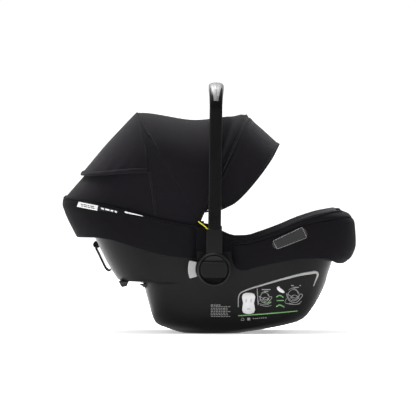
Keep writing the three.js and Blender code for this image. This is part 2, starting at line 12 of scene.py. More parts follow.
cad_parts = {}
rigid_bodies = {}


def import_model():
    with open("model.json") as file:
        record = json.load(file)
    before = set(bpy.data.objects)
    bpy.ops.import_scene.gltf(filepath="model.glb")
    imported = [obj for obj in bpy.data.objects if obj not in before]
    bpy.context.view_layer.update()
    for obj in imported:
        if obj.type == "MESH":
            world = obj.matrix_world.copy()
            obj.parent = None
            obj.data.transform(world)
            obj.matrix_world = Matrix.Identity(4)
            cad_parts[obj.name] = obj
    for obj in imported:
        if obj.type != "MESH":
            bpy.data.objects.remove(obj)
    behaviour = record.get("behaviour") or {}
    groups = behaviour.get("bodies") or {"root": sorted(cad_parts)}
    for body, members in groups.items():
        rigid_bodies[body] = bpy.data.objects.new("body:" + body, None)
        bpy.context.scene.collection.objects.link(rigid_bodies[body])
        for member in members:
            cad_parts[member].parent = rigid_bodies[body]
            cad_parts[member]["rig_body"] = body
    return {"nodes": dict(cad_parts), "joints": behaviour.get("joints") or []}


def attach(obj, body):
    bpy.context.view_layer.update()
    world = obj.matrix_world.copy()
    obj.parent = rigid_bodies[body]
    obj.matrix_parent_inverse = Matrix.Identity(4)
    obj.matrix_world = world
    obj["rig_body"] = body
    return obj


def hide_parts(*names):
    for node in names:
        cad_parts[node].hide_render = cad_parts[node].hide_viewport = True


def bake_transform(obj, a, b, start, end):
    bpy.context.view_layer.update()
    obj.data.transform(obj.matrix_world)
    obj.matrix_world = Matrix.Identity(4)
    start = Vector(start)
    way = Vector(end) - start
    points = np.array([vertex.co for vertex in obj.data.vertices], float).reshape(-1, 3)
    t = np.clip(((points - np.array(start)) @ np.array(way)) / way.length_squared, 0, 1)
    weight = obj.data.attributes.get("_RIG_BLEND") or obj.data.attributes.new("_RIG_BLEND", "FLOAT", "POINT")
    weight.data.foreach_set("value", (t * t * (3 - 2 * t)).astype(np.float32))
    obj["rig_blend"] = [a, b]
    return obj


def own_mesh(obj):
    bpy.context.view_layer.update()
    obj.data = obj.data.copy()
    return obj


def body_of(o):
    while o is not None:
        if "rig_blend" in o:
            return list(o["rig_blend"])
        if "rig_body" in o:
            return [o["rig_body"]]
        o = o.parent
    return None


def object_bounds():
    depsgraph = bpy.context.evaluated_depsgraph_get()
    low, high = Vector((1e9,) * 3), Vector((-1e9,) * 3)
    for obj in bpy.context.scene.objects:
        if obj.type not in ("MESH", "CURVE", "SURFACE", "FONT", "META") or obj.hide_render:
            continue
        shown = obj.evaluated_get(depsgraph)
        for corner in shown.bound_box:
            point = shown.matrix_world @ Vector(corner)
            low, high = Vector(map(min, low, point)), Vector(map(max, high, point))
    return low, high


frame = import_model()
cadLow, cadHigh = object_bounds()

mm = 0.001
jointAt = {j["name"]: j for j in frame["joints"]}
hubAt = np.array(jointAt["handle_swing"]["pos_m"])
canopyAt = np.array(jointAt["rear_hoop_fold"]["pos_m"])


def smoothRead(pairs, at):
    # a smooth curve through [place, value] pairs in mm that never overshoots them, read in metres
    px, py = (np.array(pairs, float) * mm).T
    step = np.diff(px)
    slope = np.diff(py) / step
    bend = np.zeros(len(px))
    same = slope[:-1] * slope[1:] > 0
    bend[1:-1][same] = 2 * slope[:-1][same] * slope[1:][same] / (slope[:-1] + slope[1:])[same]
    bend[0], bend[-1] = slope[0], slope[-1]
    x = np.clip(at, px[0], px[-1])
    i = np.clip(np.searchsorted(px, x) - 1, 0, len(step) - 1)
    t = (x - px[i]) / step[i]
    return (py[i] * (1 + 2 * t) * (1 - t) ** 2 + step[i] * bend[i] * t * (1 - t) ** 2
            + py[i + 1] * t * t * (3 - 2 * t) + step[i] * bend[i + 1] * t * t * (t - 1))


def ease(t):
    # a smooth step from 0 to 1
    t = np.clip(t, 0, 1)
    return t * t * (3 - 2 * t)


def evened(line, passes=12):
    # evens out a line's small steps, keeping its two ends
    line = line.copy()
    for _ in range(passes):
        line[1:-1] = line[1:-1] * 0.5 + (line[:-2] + line[2:]) * 0.25
    return line


def bump(t, middle, width):
    # a round hump of height 1 at middle
    return np.exp(-((t - middle) / width) ** 2)


def ripple(a, b, waves, seed):
    # gentle unevenness from -1 to 1: a few sine waves in chosen directions over two coordinates
    dice = np.random.default_rng(seed)
    total = 0
    for _ in range(waves):
        angle, pitch, shift = dice.uniform(0, math.pi), dice.uniform(0.6, 1.6), dice.uniform(0, 6.3)
        total = total + np.sin((a * math.cos(angle) + b * math.sin(angle)) * pitch + shift)
    return total / waves


def spline(points, count):
    # a smooth curve through the points (Catmull-Rom), at even steps of length
    p = np.array(points, float)
    p = np.vstack([2 * p[0] - p[1], p, 2 * p[-1] - p[-2]])
    t = np.linspace(0, 1, 24, endpoint=False)[:, None]
    parts = [0.5 * (2 * b + (c - a) * t + (2 * a - 5 * b + 4 * c - d) * t ** 2
                    + (3 * b - a - 3 * c + d) * t ** 3) for a, b, c, d in zip(p, p[1:], p[2:], p[3:])]
    return evenly(np.vstack(parts + [p[-2:-1]]), count)


def unit(v):
    # each row of v at length 1
    return v / (np.linalg.norm(v, axis=-1, keepdims=True) + 1e-12)


def goneAlong(points):
    # the length from the line's start to each of its points
    return np.concatenate([[0], np.cumsum(np.linalg.norm(np.diff(points, axis=0), axis=1))])


def readLine(points, gone, at):
    # the line's places at these lengths from its start
    return np.stack([np.interp(at, gone, points[:, k]) for k in range(points.shape[1])], axis=1)


def evenly(points, count):
    # the same line with count points at even steps of length
    gone = goneAlong(points)
    return readLine(points, gone, np.linspace(0, gone[-1], count))


def lengths(grid, axis):
    # how far each grid point lies along its row or column, in metres
    gaps = np.linalg.norm(np.diff(grid, axis=axis), axis=2)
    start = np.zeros_like(np.take(gaps, [0], axis=axis))
    return np.cumsum(np.concatenate([start, gaps], axis=axis), axis=axis)


@contextmanager
def editing(mesh):
    # the mesh opened for editing, and written back at the end
    work = bmesh.new()
    work.from_mesh(mesh)
    yield work
    work.to_mesh(mesh)
    work.free()


def pointsOf(mesh):
    # the mesh's own vertices, one row each
    co = np.zeros(len(mesh.vertices) * 3, np.float32)
    mesh.vertices.foreach_get("co", co)
    return co.reshape(-1, 3)


def setPoints(mesh, co):
    # moves the vertices to these places, one row each
    mesh.vertices.foreach_set("co", co.astype(np.float32).reshape(-1))
    mesh.update()


def gridPiece(name, grid, material, wrap=False, wrapRows=False, flip=False, sharp=None):
    # a surface through a grid of points; its UV map holds metres along and across it
    grid = np.asarray(grid, float)
    full = np.concatenate([grid, grid[:, :1]], axis=1) if wrap else grid
    full = np.concatenate([full, full[:1]], axis=0) if wrapRows else full
    rows, cols = full.shape[:2]
    index = np.arange(rows * cols).reshape(rows, cols)
    corners = [index[:-1, :-1], index[:-1, 1:], index[1:, 1:], index[1:, :-1]]
    quads = np.stack(corners, axis=-1).reshape(-1, 4)
    if flip:
        quads = quads[:, ::-1]
    uv = np.stack([lengths(full, 1), lengths(full, 0)], axis=-1).reshape(-1, 2)
    mesh = bpy.data.meshes.new(name)
    mesh.vertices.add(rows * cols)
    mesh.vertices.foreach_set("co", full.reshape(-1).astype(np.float32))
    mesh.loops.add(quads.size)
    mesh.loops.foreach_set("vertex_index", quads.reshape(-1))
    mesh.polygons.add(len(quads))
    mesh.polygons.foreach_set("loop_start", np.arange(0, quads.size, 4))
    mesh.update(calc_edges=True)
    layer = mesh.uv_layers.new(name="cloth")
    layer.data.foreach_set("uv", uv[quads.reshape(-1)].reshape(-1).astype(np.float32))
    with editing(mesh) as work:
        bmesh.ops.remove_doubles(work, verts=work.verts, dist=2e-6)
        bmesh.ops.dissolve_degenerate(work, edges=work.edges, dist=1e-7)
    return pieceFrom(name, mesh, material, sharp)


def pieceFrom(name, mesh, material, sharp=None):
    # a shown object of this mesh, smooth but for edges sharper than the given angle
    mesh.polygons.foreach_set("use_smooth", np.ones(len(mesh.polygons), bool))
    if sharp:
        mesh.set_sharp_from_angle(angle=math.radians(sharp))
    mesh.materials.append(material)
    obj = bpy.data.objects.new(name, mesh)
    bpy.context.scene.collection.objects.link(obj)
    return obj


def place(piece, body, finish, *nodes):
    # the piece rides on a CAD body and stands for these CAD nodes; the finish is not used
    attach(piece, body)
    if nodes:
        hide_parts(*nodes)
    return piece


def plate(name, outline, fromY, toY, material, bevel=1.0, segments=3, sharp=40):
    # an outline in the XZ plane given a thickness along Y, with its edges rounded
    outline = np.asarray(outline, float)
    count = len(outline)
    sides = [np.column_stack([outline[:, 0], np.full(count, y), outline[:, 1]]) for y in (fromY, toY)]
    ring = np.arange(count)
    following = (ring + 1) % count
    faces = np.stack([ring, following, following + count, ring + count], axis=1).tolist()
    faces += [ring[::-1].tolist(), (ring + count).tolist()]
    mesh = bpy.data.meshes.new(name)
    mesh.from_pydata(np.vstack(sides).tolist(), [], faces)
    outward(mesh)
    obj = pieceFrom(name, mesh, material, sharp)
    if bevel:
        addBevel(obj, bevel * mm, segments)
    return obj


def outward(mesh):
    # makes every face of a closed mesh look outwards
    with editing(mesh) as work:
        bmesh.ops.recalc_face_normals(work, faces=work.faces)


def facing(mesh, way):
    # turns an open sheet over if its faces look, on the whole, against way
    if sum(p.normal.dot(way) * p.area for p in mesh.polygons) < 0:
        mesh.flip_normals()


def addBevel(obj, width, segments=3, angle=35):
    # rounds the edges whose faces meet at more than this angle
    bevel = obj.modifiers.new("roundedEdges", "BEVEL")
    bevel.width, bevel.segments = width, segments
    bevel.limit_method, bevel.angle_limit = "ANGLE", math.radians(angle)
    bevel.harden_normals = False


def addThickness(obj, thickness, offset=-1.0):
    # gives a sheet its thickness: inwards at -1, outwards at 1
    solid = obj.modifiers.new("thickness", "SOLIDIFY")
    solid.thickness, solid.offset, solid.use_even_offset = thickness, offset, False


def addSubdivision(obj, levels=1):
    # smooths the mesh: each level splits a face in four
    sub = obj.modifiers.new("smoother", "SUBSURF")
    sub.levels = sub.render_levels = levels


def sweep(name, path, section, material, side=(1, 0, 0), closedPath=False, sharp=None):
    # a section (wide, thick) carried along a path, one for all or one for each point
    path, section = np.asarray(path, float), np.asarray(section, float)
    ahead = unit(np.roll(path, -1, 0) - np.roll(path, 1, 0) if closedPath else np.gradient(path, axis=0))
    side = np.broadcast_to(np.asarray(side, float), path.shape)
    thick = unit(np.cross(ahead, side))
    wide = np.cross(thick, ahead)
    grid = path[:, None] + wide[:, None] * section[..., :1] + thick[:, None] * section[..., 1:]
    if not closedPath:
        first, last = [np.repeat(path[k:, None][:1], grid.shape[1], 1) for k in (0, -1)]
        grid = np.concatenate([first, grid, last])
    obj = gridPiece(name, grid, material, wrap=True, wrapRows=closedPath, sharp=sharp)
    outward(obj.data)
    return obj


def oval(halfWide, halfThick, count=20, power=2.0):
    # a closed oval section; a power above 2 makes it squarer
    a = np.linspace(0, 2 * math.pi, count, endpoint=False)
    c, s = np.cos(a), np.sin(a)
    return np.column_stack([halfWide * np.sign(c) * np.abs(c) ** (2 / power),
                            halfThick * np.sign(s) * np.abs(s) ** (2 / power)])


def turned(name, profile, centre, material, count=72, sharp=35):
    # a [reach, y] profile in mm turned about the Y axis through centre
    profile = np.asarray(profile, float) * mm
    a = np.linspace(0, 2 * math.pi, count, endpoint=False)
    reach, y = profile[:, :1], np.broadcast_to(profile[:, 1:], (len(profile), count))
    grid = np.stack([centre[0] + reach * np.cos(a), y, centre[2] + reach * np.sin(a)], axis=-1)
    obj = gridPiece(name, grid, material, wrap=True, sharp=sharp)
    outward(obj.data)
    return obj


def mirroredCopy(obj, name):
    # the same piece on the other side of the seat, faces still pointing out
    copy = obj.copy()
    copy.data = obj.data.copy()
    setPoints(copy.data, pointsOf(obj.data) * [1, -1, 1])
    copy.data.flip_normals()
    copy.name = copy.data.name = name
    bpy.context.scene.collection.objects.link(copy)
    return copy


def stitches(name, path, material, pitch=3.2, size=(2.1, 0.55), flat=(0, -1, 0)):
    # a row of short thread humps along a path, each a squashed bead with its flat side against flat
    path = np.asarray(path, float)
    gone = goneAlong(path)
    count = max(int(gone[-1] / (pitch * mm)), 2)
    at = (np.arange(count) + 0.5) / count * gone[-1]
    middle = readLine(path, gone, at)
    ahead = unit(readLine(path, gone, at + 1e-4) - readLine(path, gone, at - 1e-4))
    side = unit(np.cross(ahead, np.broadcast_to(np.asarray(flat, float), ahead.shape)))
    up = np.cross(side, ahead)
    bead = np.array([[-1, 0, 0], [-0.6, -1, 0], [-0.6, 0, 1], [-0.6, 1, 0],
                     [0.6, -1, 0], [0.6, 0, 1], [0.6, 1, 0], [1, 0, 0]])
    bead = (bead * [size[0], size[1], size[1]])[:, :, None] * mm / 2
    co = middle[:, None] + ahead[:, None] * bead[:, 0] + side[:, None] * bead[:, 1] + up[:, None] * bead[:, 2]
    faces = np.array([[0, 2, 1], [0, 3, 2], [1, 2, 5], [1, 5, 4], [2, 3, 6], [2, 6, 5], [4, 5, 7], [5, 6, 7],
                      [0, 1, 3], [1, 4, 3], [4, 6, 3], [4, 7, 6]])
    mesh = bpy.data.meshes.new(name)
    mesh.from_pydata(co.reshape(-1, 3).tolist(), [],
                     (faces + 8 * np.arange(count)[:, None, None]).reshape(-1, 3).tolist())
    outward(mesh)
    return pieceFrom(name, mesh, material)


class Finish:
    # a node material with a Principled shader and a few short ways to wire its textures
    def __init__(self, name, colour, roughness, metallic=0.0, **sockets):
        self.material = bpy.data.materials.new(name)
        self.material.use_nodes = True
        self.nodes, self.links = self.material.node_tree.nodes, self.material.node_tree.links
        self.shader = self.nodes["Principled BSDF"]
        self.shader.inputs["Base Color"].default_value = (*colour, 1)
        self.shader.inputs["Roughness"].default_value = roughness
        self.shader.inputs["Metallic"].default_value = metallic
        for socket, value in sockets.items():
            self.shader.inputs[socket.replace("_", " ")].default_value = value
        self.height = None

    def node(self, kind, **inputs):
        # a shader node with these input values
        made = self.nodes.new(kind)
        for socket, value in inputs.items():
            made.inputs[socket.replace("_", " ")].default_value = value
        return made

    def join(self, out, into):
        # one wire
        self.links.new(out, into)

    def coordinates(self, scale, onCloth=False, turn=0.0):
        # places on the object, or along the cloth's own rows, times scale
        where = self.nodes.new("ShaderNodeTexCoord").outputs["UV" if onCloth else "Object"]
        mapping = self.node("ShaderNodeMapping", Scale=scale if isinstance(scale, tuple) else (scale,) * 3,
                            Rotation=(0, 0, turn))
        self.join(where, mapping.inputs["Vector"])
        return mapping.outputs["Vector"]

    def noise(self, scale, detail=3.0, onCloth=False, roughness=0.5):
        # cloudy values about 0.5, at this scale per metre
        made = self.node("ShaderNodeTexNoise", Scale=1.0, Detail=detail, Roughness=roughness)
        self.join(self.coordinates(scale, onCloth), made.inputs["Vector"])
        return made.outputs["Fac"]

    def mapRange(self, value, low, high, fromLow=0.3, fromHigh=0.7):
        # low + (high - low) * (value - fromLow) / (fromHigh - fromLow)
        made = self.node("ShaderNodeMapRange", From_Min=fromLow, From_Max=fromHigh, To_Min=low, To_Max=high)
        self.join(value, made.inputs["Value"])
        return made.outputs["Result"]

    def maths(self, kind, a, b):
        # one sum or product of values or numbers
        made = self.nodes.new("ShaderNodeMath")
        made.operation = kind
        for socket, value in zip(made.inputs, (a, b)):
            if isinstance(value, (int, float)):
                socket.default_value = value
            else:
                self.join(value, socket)
        return made.outputs["Value"]

    def total(self, *parts):
        # the weighted sum of several values
        terms = [self.maths("MULTIPLY", value, weight) for value, weight in parts]
        added = terms[0]
        for term in terms[1:]:
            added = self.maths("ADD", added, term)
        return added

    def colour(self, value, stops):
        # the base colour read from a ramp of (value, colour) stops
        ramp = self.nodes.new("ShaderNodeValToRGB")
        marks = ramp.color_ramp.elements
        for mark, (spot, tint) in zip(marks, (stops[0], stops[-1])):
            mark.position, mark.color = spot, (*tint, 1)
        for spot, tint in stops[1:-1]:
            marks.new(spot).color = (*tint, 1)
        self.join(value, ramp.inputs["Fac"])
        self.join(ramp.outputs["Color"], self.shader.inputs["Base Color"])

    def rough(self, value, low, high):
        # roughness between low and high as the value goes from 0.3 to 0.7
        self.join(self.mapRange(value, low, high), self.shader.inputs["Roughness"])

    def relief(self, value, distance, strength=1.0):
        # fine bumps of this height in metres, added to those already there
        made = self.node("ShaderNodeBump", Strength=strength, Distance=distance)
        self.join(value, made.inputs["Height"])
        if self.height:
            self.join(self.height, made.inputs["Normal"])
        self.height = made.outputs["Normal"]
        self.join(self.height, self.shader.inputs["Normal"])


def shade(colour, factor):
    # the colour, each channel times the factor
    return tuple(c * factor for c in colour)


def wovenCloth(name, colour, thread, contrast=0.35, roughness=0.85, sheen=0.05, onCloth=True, fleck=0.0):
    # woven yarn: two sets of bands crossing at right angles raise over and under each other
    made = Finish(name, colour, roughness, Sheen_Weight=sheen, Sheen_Roughness=0.4, Specular_IOR_Level=0.03)
    bands = []
    for turn in (0.0, math.pi / 2):
        wave = made.node("ShaderNodeTexWave", Scale=1.0, Distortion=1.2, Detail=2.0, Detail_Scale=0.6)
        made.join(made.coordinates(0.314 / (thread * mm), onCloth, turn), wave.inputs["Vector"])
        bands.append(wave.outputs["Fac"])
    weave = made.maths("MULTIPLY", bands[0], bands[1])
    mottle = made.noise(260.0, 4.0, onCloth)
    broad = made.noise(14.0, 3.0)
    tone = made.total((weave, 0.45), (mottle, 0.35 + fleck), (broad, 0.3))
    dark, light = shade(colour, 1 - contrast), shade(colour, 1 + contrast * 1.4)
    made.colour(tone, [(0.2, dark), (0.55, colour), (0.9, light)])
    made.relief(weave, 0.00022, 0.55)
    made.relief(mottle, 0.0003, 0.3)
    made.rough(broad, roughness - 0.06, min(roughness + 0.08, 1))
    return made.material


def mouldedPlastic(name, colour, roughness, grain=900.0, depth=0.00008, specular=0.45):
    # fine spark-eroded grain, slight sheen changes and a trace of handling marks
    made = Finish(name, colour, roughness, Specular_IOR_Level=specular)
    fine, broad = made.noise(grain, 2.0), made.noise(9.0, 4.0)
    made.relief(fine, depth, 0.8)
    made.rough(broad, roughness - 0.05, roughness + 0.07)
    scuff = made.noise(70.0, 6.0, roughness=0.7)
    made.colour(made.total((broad, 0.6), (scuff, 0.4)),
                [(0.3, shade(colour, 0.9)), (0.6, colour), (0.85, shade(colour, 1.14))])
    return made.material


def grainedLeather(name, colour, roughness=0.5, grain=650.0, specular=0.6):
    # leather grain: creased cells with a soft polish on their tops
    made = Finish(name, colour, roughness, Specular_IOR_Level=specular)
    cells = made.node("ShaderNodeTexVoronoi", Scale=1.0)
    cells.feature = "DISTANCE_TO_EDGE"
    made.join(made.coordinates(grain), cells.inputs["Vector"])
    crease = made.mapRange(cells.outputs["Distance"], 0.0, 1.0, 0.0, 0.16)
    made.relief(crease, 0.00016, 0.7)
    broad = made.noise(40.0, 4.0)
    made.relief(broad, 0.0005, 0.25)
    tone = made.total((crease, 0.5), (broad, 0.5))
    made.colour(tone, [(0.2, shade(colour, 0.6)), (0.6, colour), (0.9, shade(colour, 1.25))])
    made.rough(broad, roughness - 0.08, roughness + 0.1)
    return made.material


def brushedMetal(name, colour, roughness=0.32, metallic=1.0):
    # fine drawn lines along X with a faint unevenness
    made = Finish(name, colour, roughness, metallic)
    lines = made.noise((40.0, 1800.0, 1800.0), 2.0)
    made.relief(lines, 0.00003, 0.6)
    made.rough(lines, roughness - 0.06, roughness + 0.1)
    return made.material


def printedInk(name, colour):
    # flat printed ink with a slightly broken edge of tone
    made = Finish(name, colour, 0.55, Specular_IOR_Level=0.35)
    grain = made.noise(1500.0, 3.0)
    made.colour(grain, [(0.3, shade(colour, 0.86)), (0.7, colour)])
    made.relief(grain, 0.00002, 0.5)
    return made.material


shellBlack = mouldedPlastic("shellBlack", (0.002, 0.0019, 0.0021), 0.4, specular=0.065)
trimBlack = mouldedPlastic("trimBlack", (0.0022, 0.0022, 0.0024), 0.36, 1200.0, 0.00005, 0.05)
hubGrey = mouldedPlastic("hubGrey", (0.0022, 0.0022, 0.0024), 0.34, 1200.0, 0.00005, 0.09)
canopyCloth = wovenCloth("canopyCloth", (0.0052, 0.0046, 0.0058), 0.7, sheen=0.05)
coverCloth = wovenCloth("coverCloth", (0.0038, 0.0034, 0.0043), 0.8, sheen=0.02)
padCloth = wovenCloth("padCloth", (0.012, 0.0113, 0.0125), 0.8, sheen=0.08, onCloth=False)
insertCloth = wovenCloth("insertCloth", (0.045, 0.043, 0.047), 0.9, onCloth=False, fleck=0.2)
webbing = wovenCloth("webbing", (0.012, 0.012, 0.013), 1.1, contrast=0.6, sheen=0.1)
foamGrey = mouldedPlastic("foamGrey", (0.03, 0.03, 0.032), 0.85, 240.0, 0.0004, 0.2)
leatherBlack = grainedLeather("leatherBlack", (0.03, 0.029, 0.031), 0.5)
tagLeather = grainedLeather("tagLeather", (0.0035, 0.0037, 0.0036), 0.5, 900.0, 0.2)
handleBlack = mouldedPlastic("handleBlack", (0.0022, 0.0022, 0.0025), 0.3, 2000.0, 0.000015, 0.08)
rubberBlack = mouldedPlastic("rubberBlack", (0.009, 0.009, 0.009), 0.75, 500.0, 0.0001, 0.3)
steel = brushedMetal("steel", (0.16, 0.16, 0.165))
darkSteel = brushedMetal("darkSteel", (0.03, 0.03, 0.031), 0.5)
paleGrey = mouldedPlastic("paleGrey", (0.2, 0.2, 0.197), 0.4)
redButton = mouldedPlastic("redButton", (0.35, 0.02, 0.015), 0.35)
darkThread = wovenCloth("darkThread", (0.03, 0.029, 0.031), 0.3, onCloth=False)
paleInk = printedInk("paleInk", (0.42, 0.42, 0.43))
greyInk = printedInk("greyInk", (0.17, 0.175, 0.17))
greenInk = printedInk("greenInk", (0.1, 0.24, 0.08))
tagWhite = wovenCloth("tagWhite", (0.4, 0.4, 0.4), 0.35, contrast=0.12)
edgeYellow = wovenCloth("edgeYellow", (0.42, 0.4, 0.03), 0.4, contrast=0.2, onCloth=False)


shellShape = {  # mm
    "rearEdge": [[0, -58], [2, -68], [6, -82], [14, -107], [19, -117], [31, -126], [70, -137.5],
                 [108, -147.5],
                 [114, -150], [116.2, -155], [117, -164], [117.4, -186], [118.4, -198], [121, -204.5],
                 [138, -217], [166, -233], [202, -251], [218, -259], [302, -292]],
    "footEdge": [[0, 72], [2, 84], [7, 116], [15.5, 162], [25, 200], [34, 216], [50, 230], [75, 246],
                 [109, 262], [141, 271], [159, 277], [250, 297], [302, 300]],
    "halfWidth": [[0, 112], [2, 118], [6, 126], [14, 135], [25, 143], [50, 152], [100, 164], [150, 176],
                  [200, 183], [250, 187], [302, 188]],
    "rim": [[-345, 300], [-290, 299], [-248, 288], [-193, 276], [-134, 260.5], [-77, 247], [-32, 240],
            [0, 235], [30, 220], [60, 209], [85, 209.5], [116, 218], [162, 234], [207, 252], [253, 265],
            [300, 271], [345, 271]],
    "rearRadius": 88, "footRadius": 66, "taper": 0.1, "wall": 4,
}
rearCoverShape = {
    "top": [[-345, 307], [-298, 302], [-248, 291], [-193, 279.5], [-134, 263.6], [-77, 250], [-27, 242.5]],
    "foot": [[-345, 216], [-262, 218], [-225, 213.5], [-180, 200], [-134, 186], [-89, 176], [-27, 170]],
    "back": [[150, -275], [216, -298], [277, -325], [293, -330], [320, -330]],
    "proud": 5.6, "puff": 2.2, "thick": 1.6, "groove": 0, "startX": -27,
}
footCoverShape = {
    "top": [[48, 208], [77, 211], [116, 220], [162, 236], [207, 254], [253, 268], [290, 275.5], [345, 276]],
    "foot": [[48, 203], [50, 180], [53, 166], [60, 152], [72, 144], [84, 144], [96, 148], [162, 162.5],
             [207, 169.5], [262, 170.5], [298, 159], [345, 158]],
    "front": [[150, 290], [160, 306], [175, 322], [202, 330], [250, 328], [265, 321], [276, 300]],
    "proud": 6.4, "puff": 2.4, "thick": 1.6, "groove": 1, "startX": 48,
}


def planPath(around, startX, sideCount=34, cornerCount=16, endCount=14):
    # the stations of a rounded oblong: which end, how far along the side, and the way the edge faces.
    # around is "rear", "foot" or "all"; the walk starts at startX on the right side
    def turn(count, low, high):
        # count even steps from low, stopping short of high
        return np.linspace(low, high, count, endpoint=False)

    def end(foot, hand):
        # one side out to its corner, round it, across the end, round the other corner and back
        ahead = 0.0 if foot else math.pi
        side = hand * math.pi / 2 if foot or hand > 0 else 1.5 * math.pi
        otherSide = 2 * ahead - side
        parts = [(sideCount, (0, 1), hand, side), (cornerCount, 1, hand, (side, ahead)),
                 (endCount, 1, (hand, -hand), ahead), (cornerCount, 1, -hand, (ahead, otherSide)),
                 (sideCount, (1, 0), -hand, otherSide)]
        cells = [np.column_stack([turn(count, *np.broadcast_to(value, 2)) for value in (foot, *values)])
                 for count, *values in parts]
        return np.vstack(cells + [[[foot, 0, -hand, otherSide]]])

    if around == "all":
        rows = np.vstack([end(0, -1)[:-1], end(1, 1)[:-1]])
    else:
        rows = end(0, -1) if around == "rear" else end(1, 1)
    return {"foot": rows[:, 0] > 0.5, "share": rows[:, 1], "hand": rows[:, 2],
            "cos": np.cos(rows[:, 3]), "sin": np.sin(rows[:, 3]), "startX": startX * mm}


def narrowing(x):
    # width share at x: 1 in the middle, less by the square of the way to the end
    return 1 - shellShape["taper"] * (x / 0.33) ** 2


def planPoints(path, z, rear, foot, half, grow=0.0):
    # the oblong at height z: straight sides, round corners, and both ends a little narrower
    z, rear, foot, half, grow = np.broadcast_arrays(z, rear, foot, half, grow)
    room = np.minimum((foot - rear) / 2 + grow, half + grow) * 0.85
    rearR = np.minimum(shellShape["rearRadius"] * mm + grow, room)
    footR = np.minimum(shellShape["footRadius"] * mm + grow, room)
    radius = np.where(path["foot"], footR, rearR)
    corner = np.where(path["foot"], foot + grow - footR, rear - grow + rearR)
    x = path["startX"] + (corner - path["startX"]) * path["share"] + radius * path["cos"]
    y = (path["hand"] * (half + grow - radius) + radius * path["sin"]) * narrowing(x)
    return np.stack([x, y, np.broadcast_to(z, x.shape)], axis=-1)


def shellPoints(path, z, grow=0.0):
    # the shell's outer wall at height z, pushed out by grow
    return planPoints(path, z, smoothRead(shellShape["rearEdge"], z), smoothRead(shellShape["footEdge"], z),
                      smoothRead(shellShape["halfWidth"], z), grow)


def heightOn(line, pointsAt, start):
    # the height at which each station of a wall meets a line given as [x, height]
    z = np.full((1, 1), start)
    for _ in range(8):
        z = smoothRead(line, pointsAt(z)[..., 0])
    return z


def shellBody():
    # the rocker shell: a flat base, levels up to the rim line, then a 4 mm wall
    path = planPath("all", 0)
    base = shellPoints(path, np.zeros((1, 1)))
    middle = base.mean(axis=1, keepdims=True)
    inner = middle + (base - middle) * np.array([0, 0.3, 0.6, 0.85, 0.96])[:, None, None]
    levels = np.array([0, 0.5, 1.2, 2.5, 4.5, 7, 10, 14, 19, 25, 32, 41, 52, 64, 78, 92, 102, 108, 111, 113,
                       114.5, 115.6, 116.4, 117, 117.3, 117.7, 118.4, 119.5, 121, 124, 130, 138, 148]) * mm
    low = shellPoints(path, levels[:, None])
    rim = heightOn(shellShape["rim"], lambda z: shellPoints(path, z), 0.25)
    share = np.linspace(0, 1, 26)[1:, None]
    high = shellPoints(path, levels[-1] + (rim - levels[-1]) * share)
    body = gridPiece("shellBody", np.concatenate([inner, low, high]), shellBlack, wrap=True)
    outward(body.data)
    addThickness(body, shellShape["wall"] * mm)
    lip = sweep("shellLip", high[-1] + [0, 0, 0.6 * mm], oval(2.6 * mm, 1.5 * mm, 12), shellBlack,
                side=(0, 0, 1), closedPath=True)
    place(body, "seat", "shell_plastic", "outer_shell")
    place(lip, "seat", "shell_plastic")
    return path


shellPath = shellBody()
print("shell made")


def wrapCover(name, node, around, shape, endPairs, grain):
    # padded cloth over the shell's edge: bowed between its hems, which roll in to the shell all round
    path = planPath(around, shape["startX"], 44, 20, 16)
    rearPairs = endPairs if around == "rear" else shellShape["rearEdge"]
    footPairs = endPairs if around == "foot" else shellShape["footEdge"]

    def at(z, grow=0.0):
        # the cover's wall at height z, pushed out by grow
        half = smoothRead(shellShape["halfWidth"], z) + shape["proud"] * mm
        return planPoints(path, z, smoothRead(rearPairs, z), smoothRead(footPairs, z), half, grow)

    top = heightOn(shape["top"], at, 0.27)
    foot = heightOn(shape["foot"], at, 0.2)
    groove = -2.4 * mm * shape["groove"]
    flat = np.concatenate([np.linspace(0.06, 0.83, 24), np.linspace(0.845, 0.95, 12)])
    rows = np.vstack([[[0.035, 7], [0.012, 5.6], [0, 3.6], [0.004, 1.6], [0.016, 0.4], [0.035, 0]],
                      np.column_stack([flat, 0 * flat]),
                      [[0.965, 0], [0.984, 0.4], [0.996, 1.6], [1, 3.6], [0.992, 5.6], [0.97, 7.5]]])
    v, inset = rows[:, :1], rows[:, 1:] * mm
    columns = np.arange(len(path["share"]))
    endRoll = np.interp(np.minimum(columns, columns[::-1]), [0, 1, 2, 3, 4], [7, 4.5, 2, 0.6, 0]) * mm
    z = foot + (top - foot) * v
    puff = shape["puff"] * mm * np.sin(math.pi * v) ** 0.7
    waves = 0.5 * mm * ripple(1.1 * (columns + 1), v * 7, 5, grain) * np.sin(math.pi * v)
    seam = groove * (bump(v, 0.885, 0.014) - 0.4 * bump(v, 0.935, 0.03))
    grid = at(z, puff + waves + seam - inset - endRoll)
    rim = heightOn(shellShape["rim"], lambda height: shellPoints(path, height), 0.27)
    low, high = shellPoints(path, z[:1] + 0.001), shellPoints(path, rim - 0.001)
    grid = np.concatenate([low, (low + grid[:1]) / 2, grid]
                          + [grid[-1:] + (high - grid[-1:]) * t for t in (0.3, 0.65, 1)])
    cover = gridPiece(name, grid, coverCloth)
    outward(cover.data)
    addThickness(cover, shape["thick"] * mm)
    place(cover, "seat", "seat_fabric", node)
    return at


rearAt = wrapCover("rearCover", "rear_cover", "rear", rearCoverShape, rearCoverShape["back"], 3)
footAt = wrapCover("footCover", "foot_cover", "foot", footCoverShape, footCoverShape["front"], 5)
print("covers made")


def sideY(x, z, at, lift):
    # how far out to the right a wall lies at x and z, plus a lift
    rows = [row[row[:, 1] < 0] for row in at(np.asarray(z, float)[:, None])]
    rows = [row[np.argsort(row[:, 0])] for row in rows]
    return np.array([np.interp(px, row[:, 0], row[:, 1]) for px, row in zip(x, rows)]) - lift


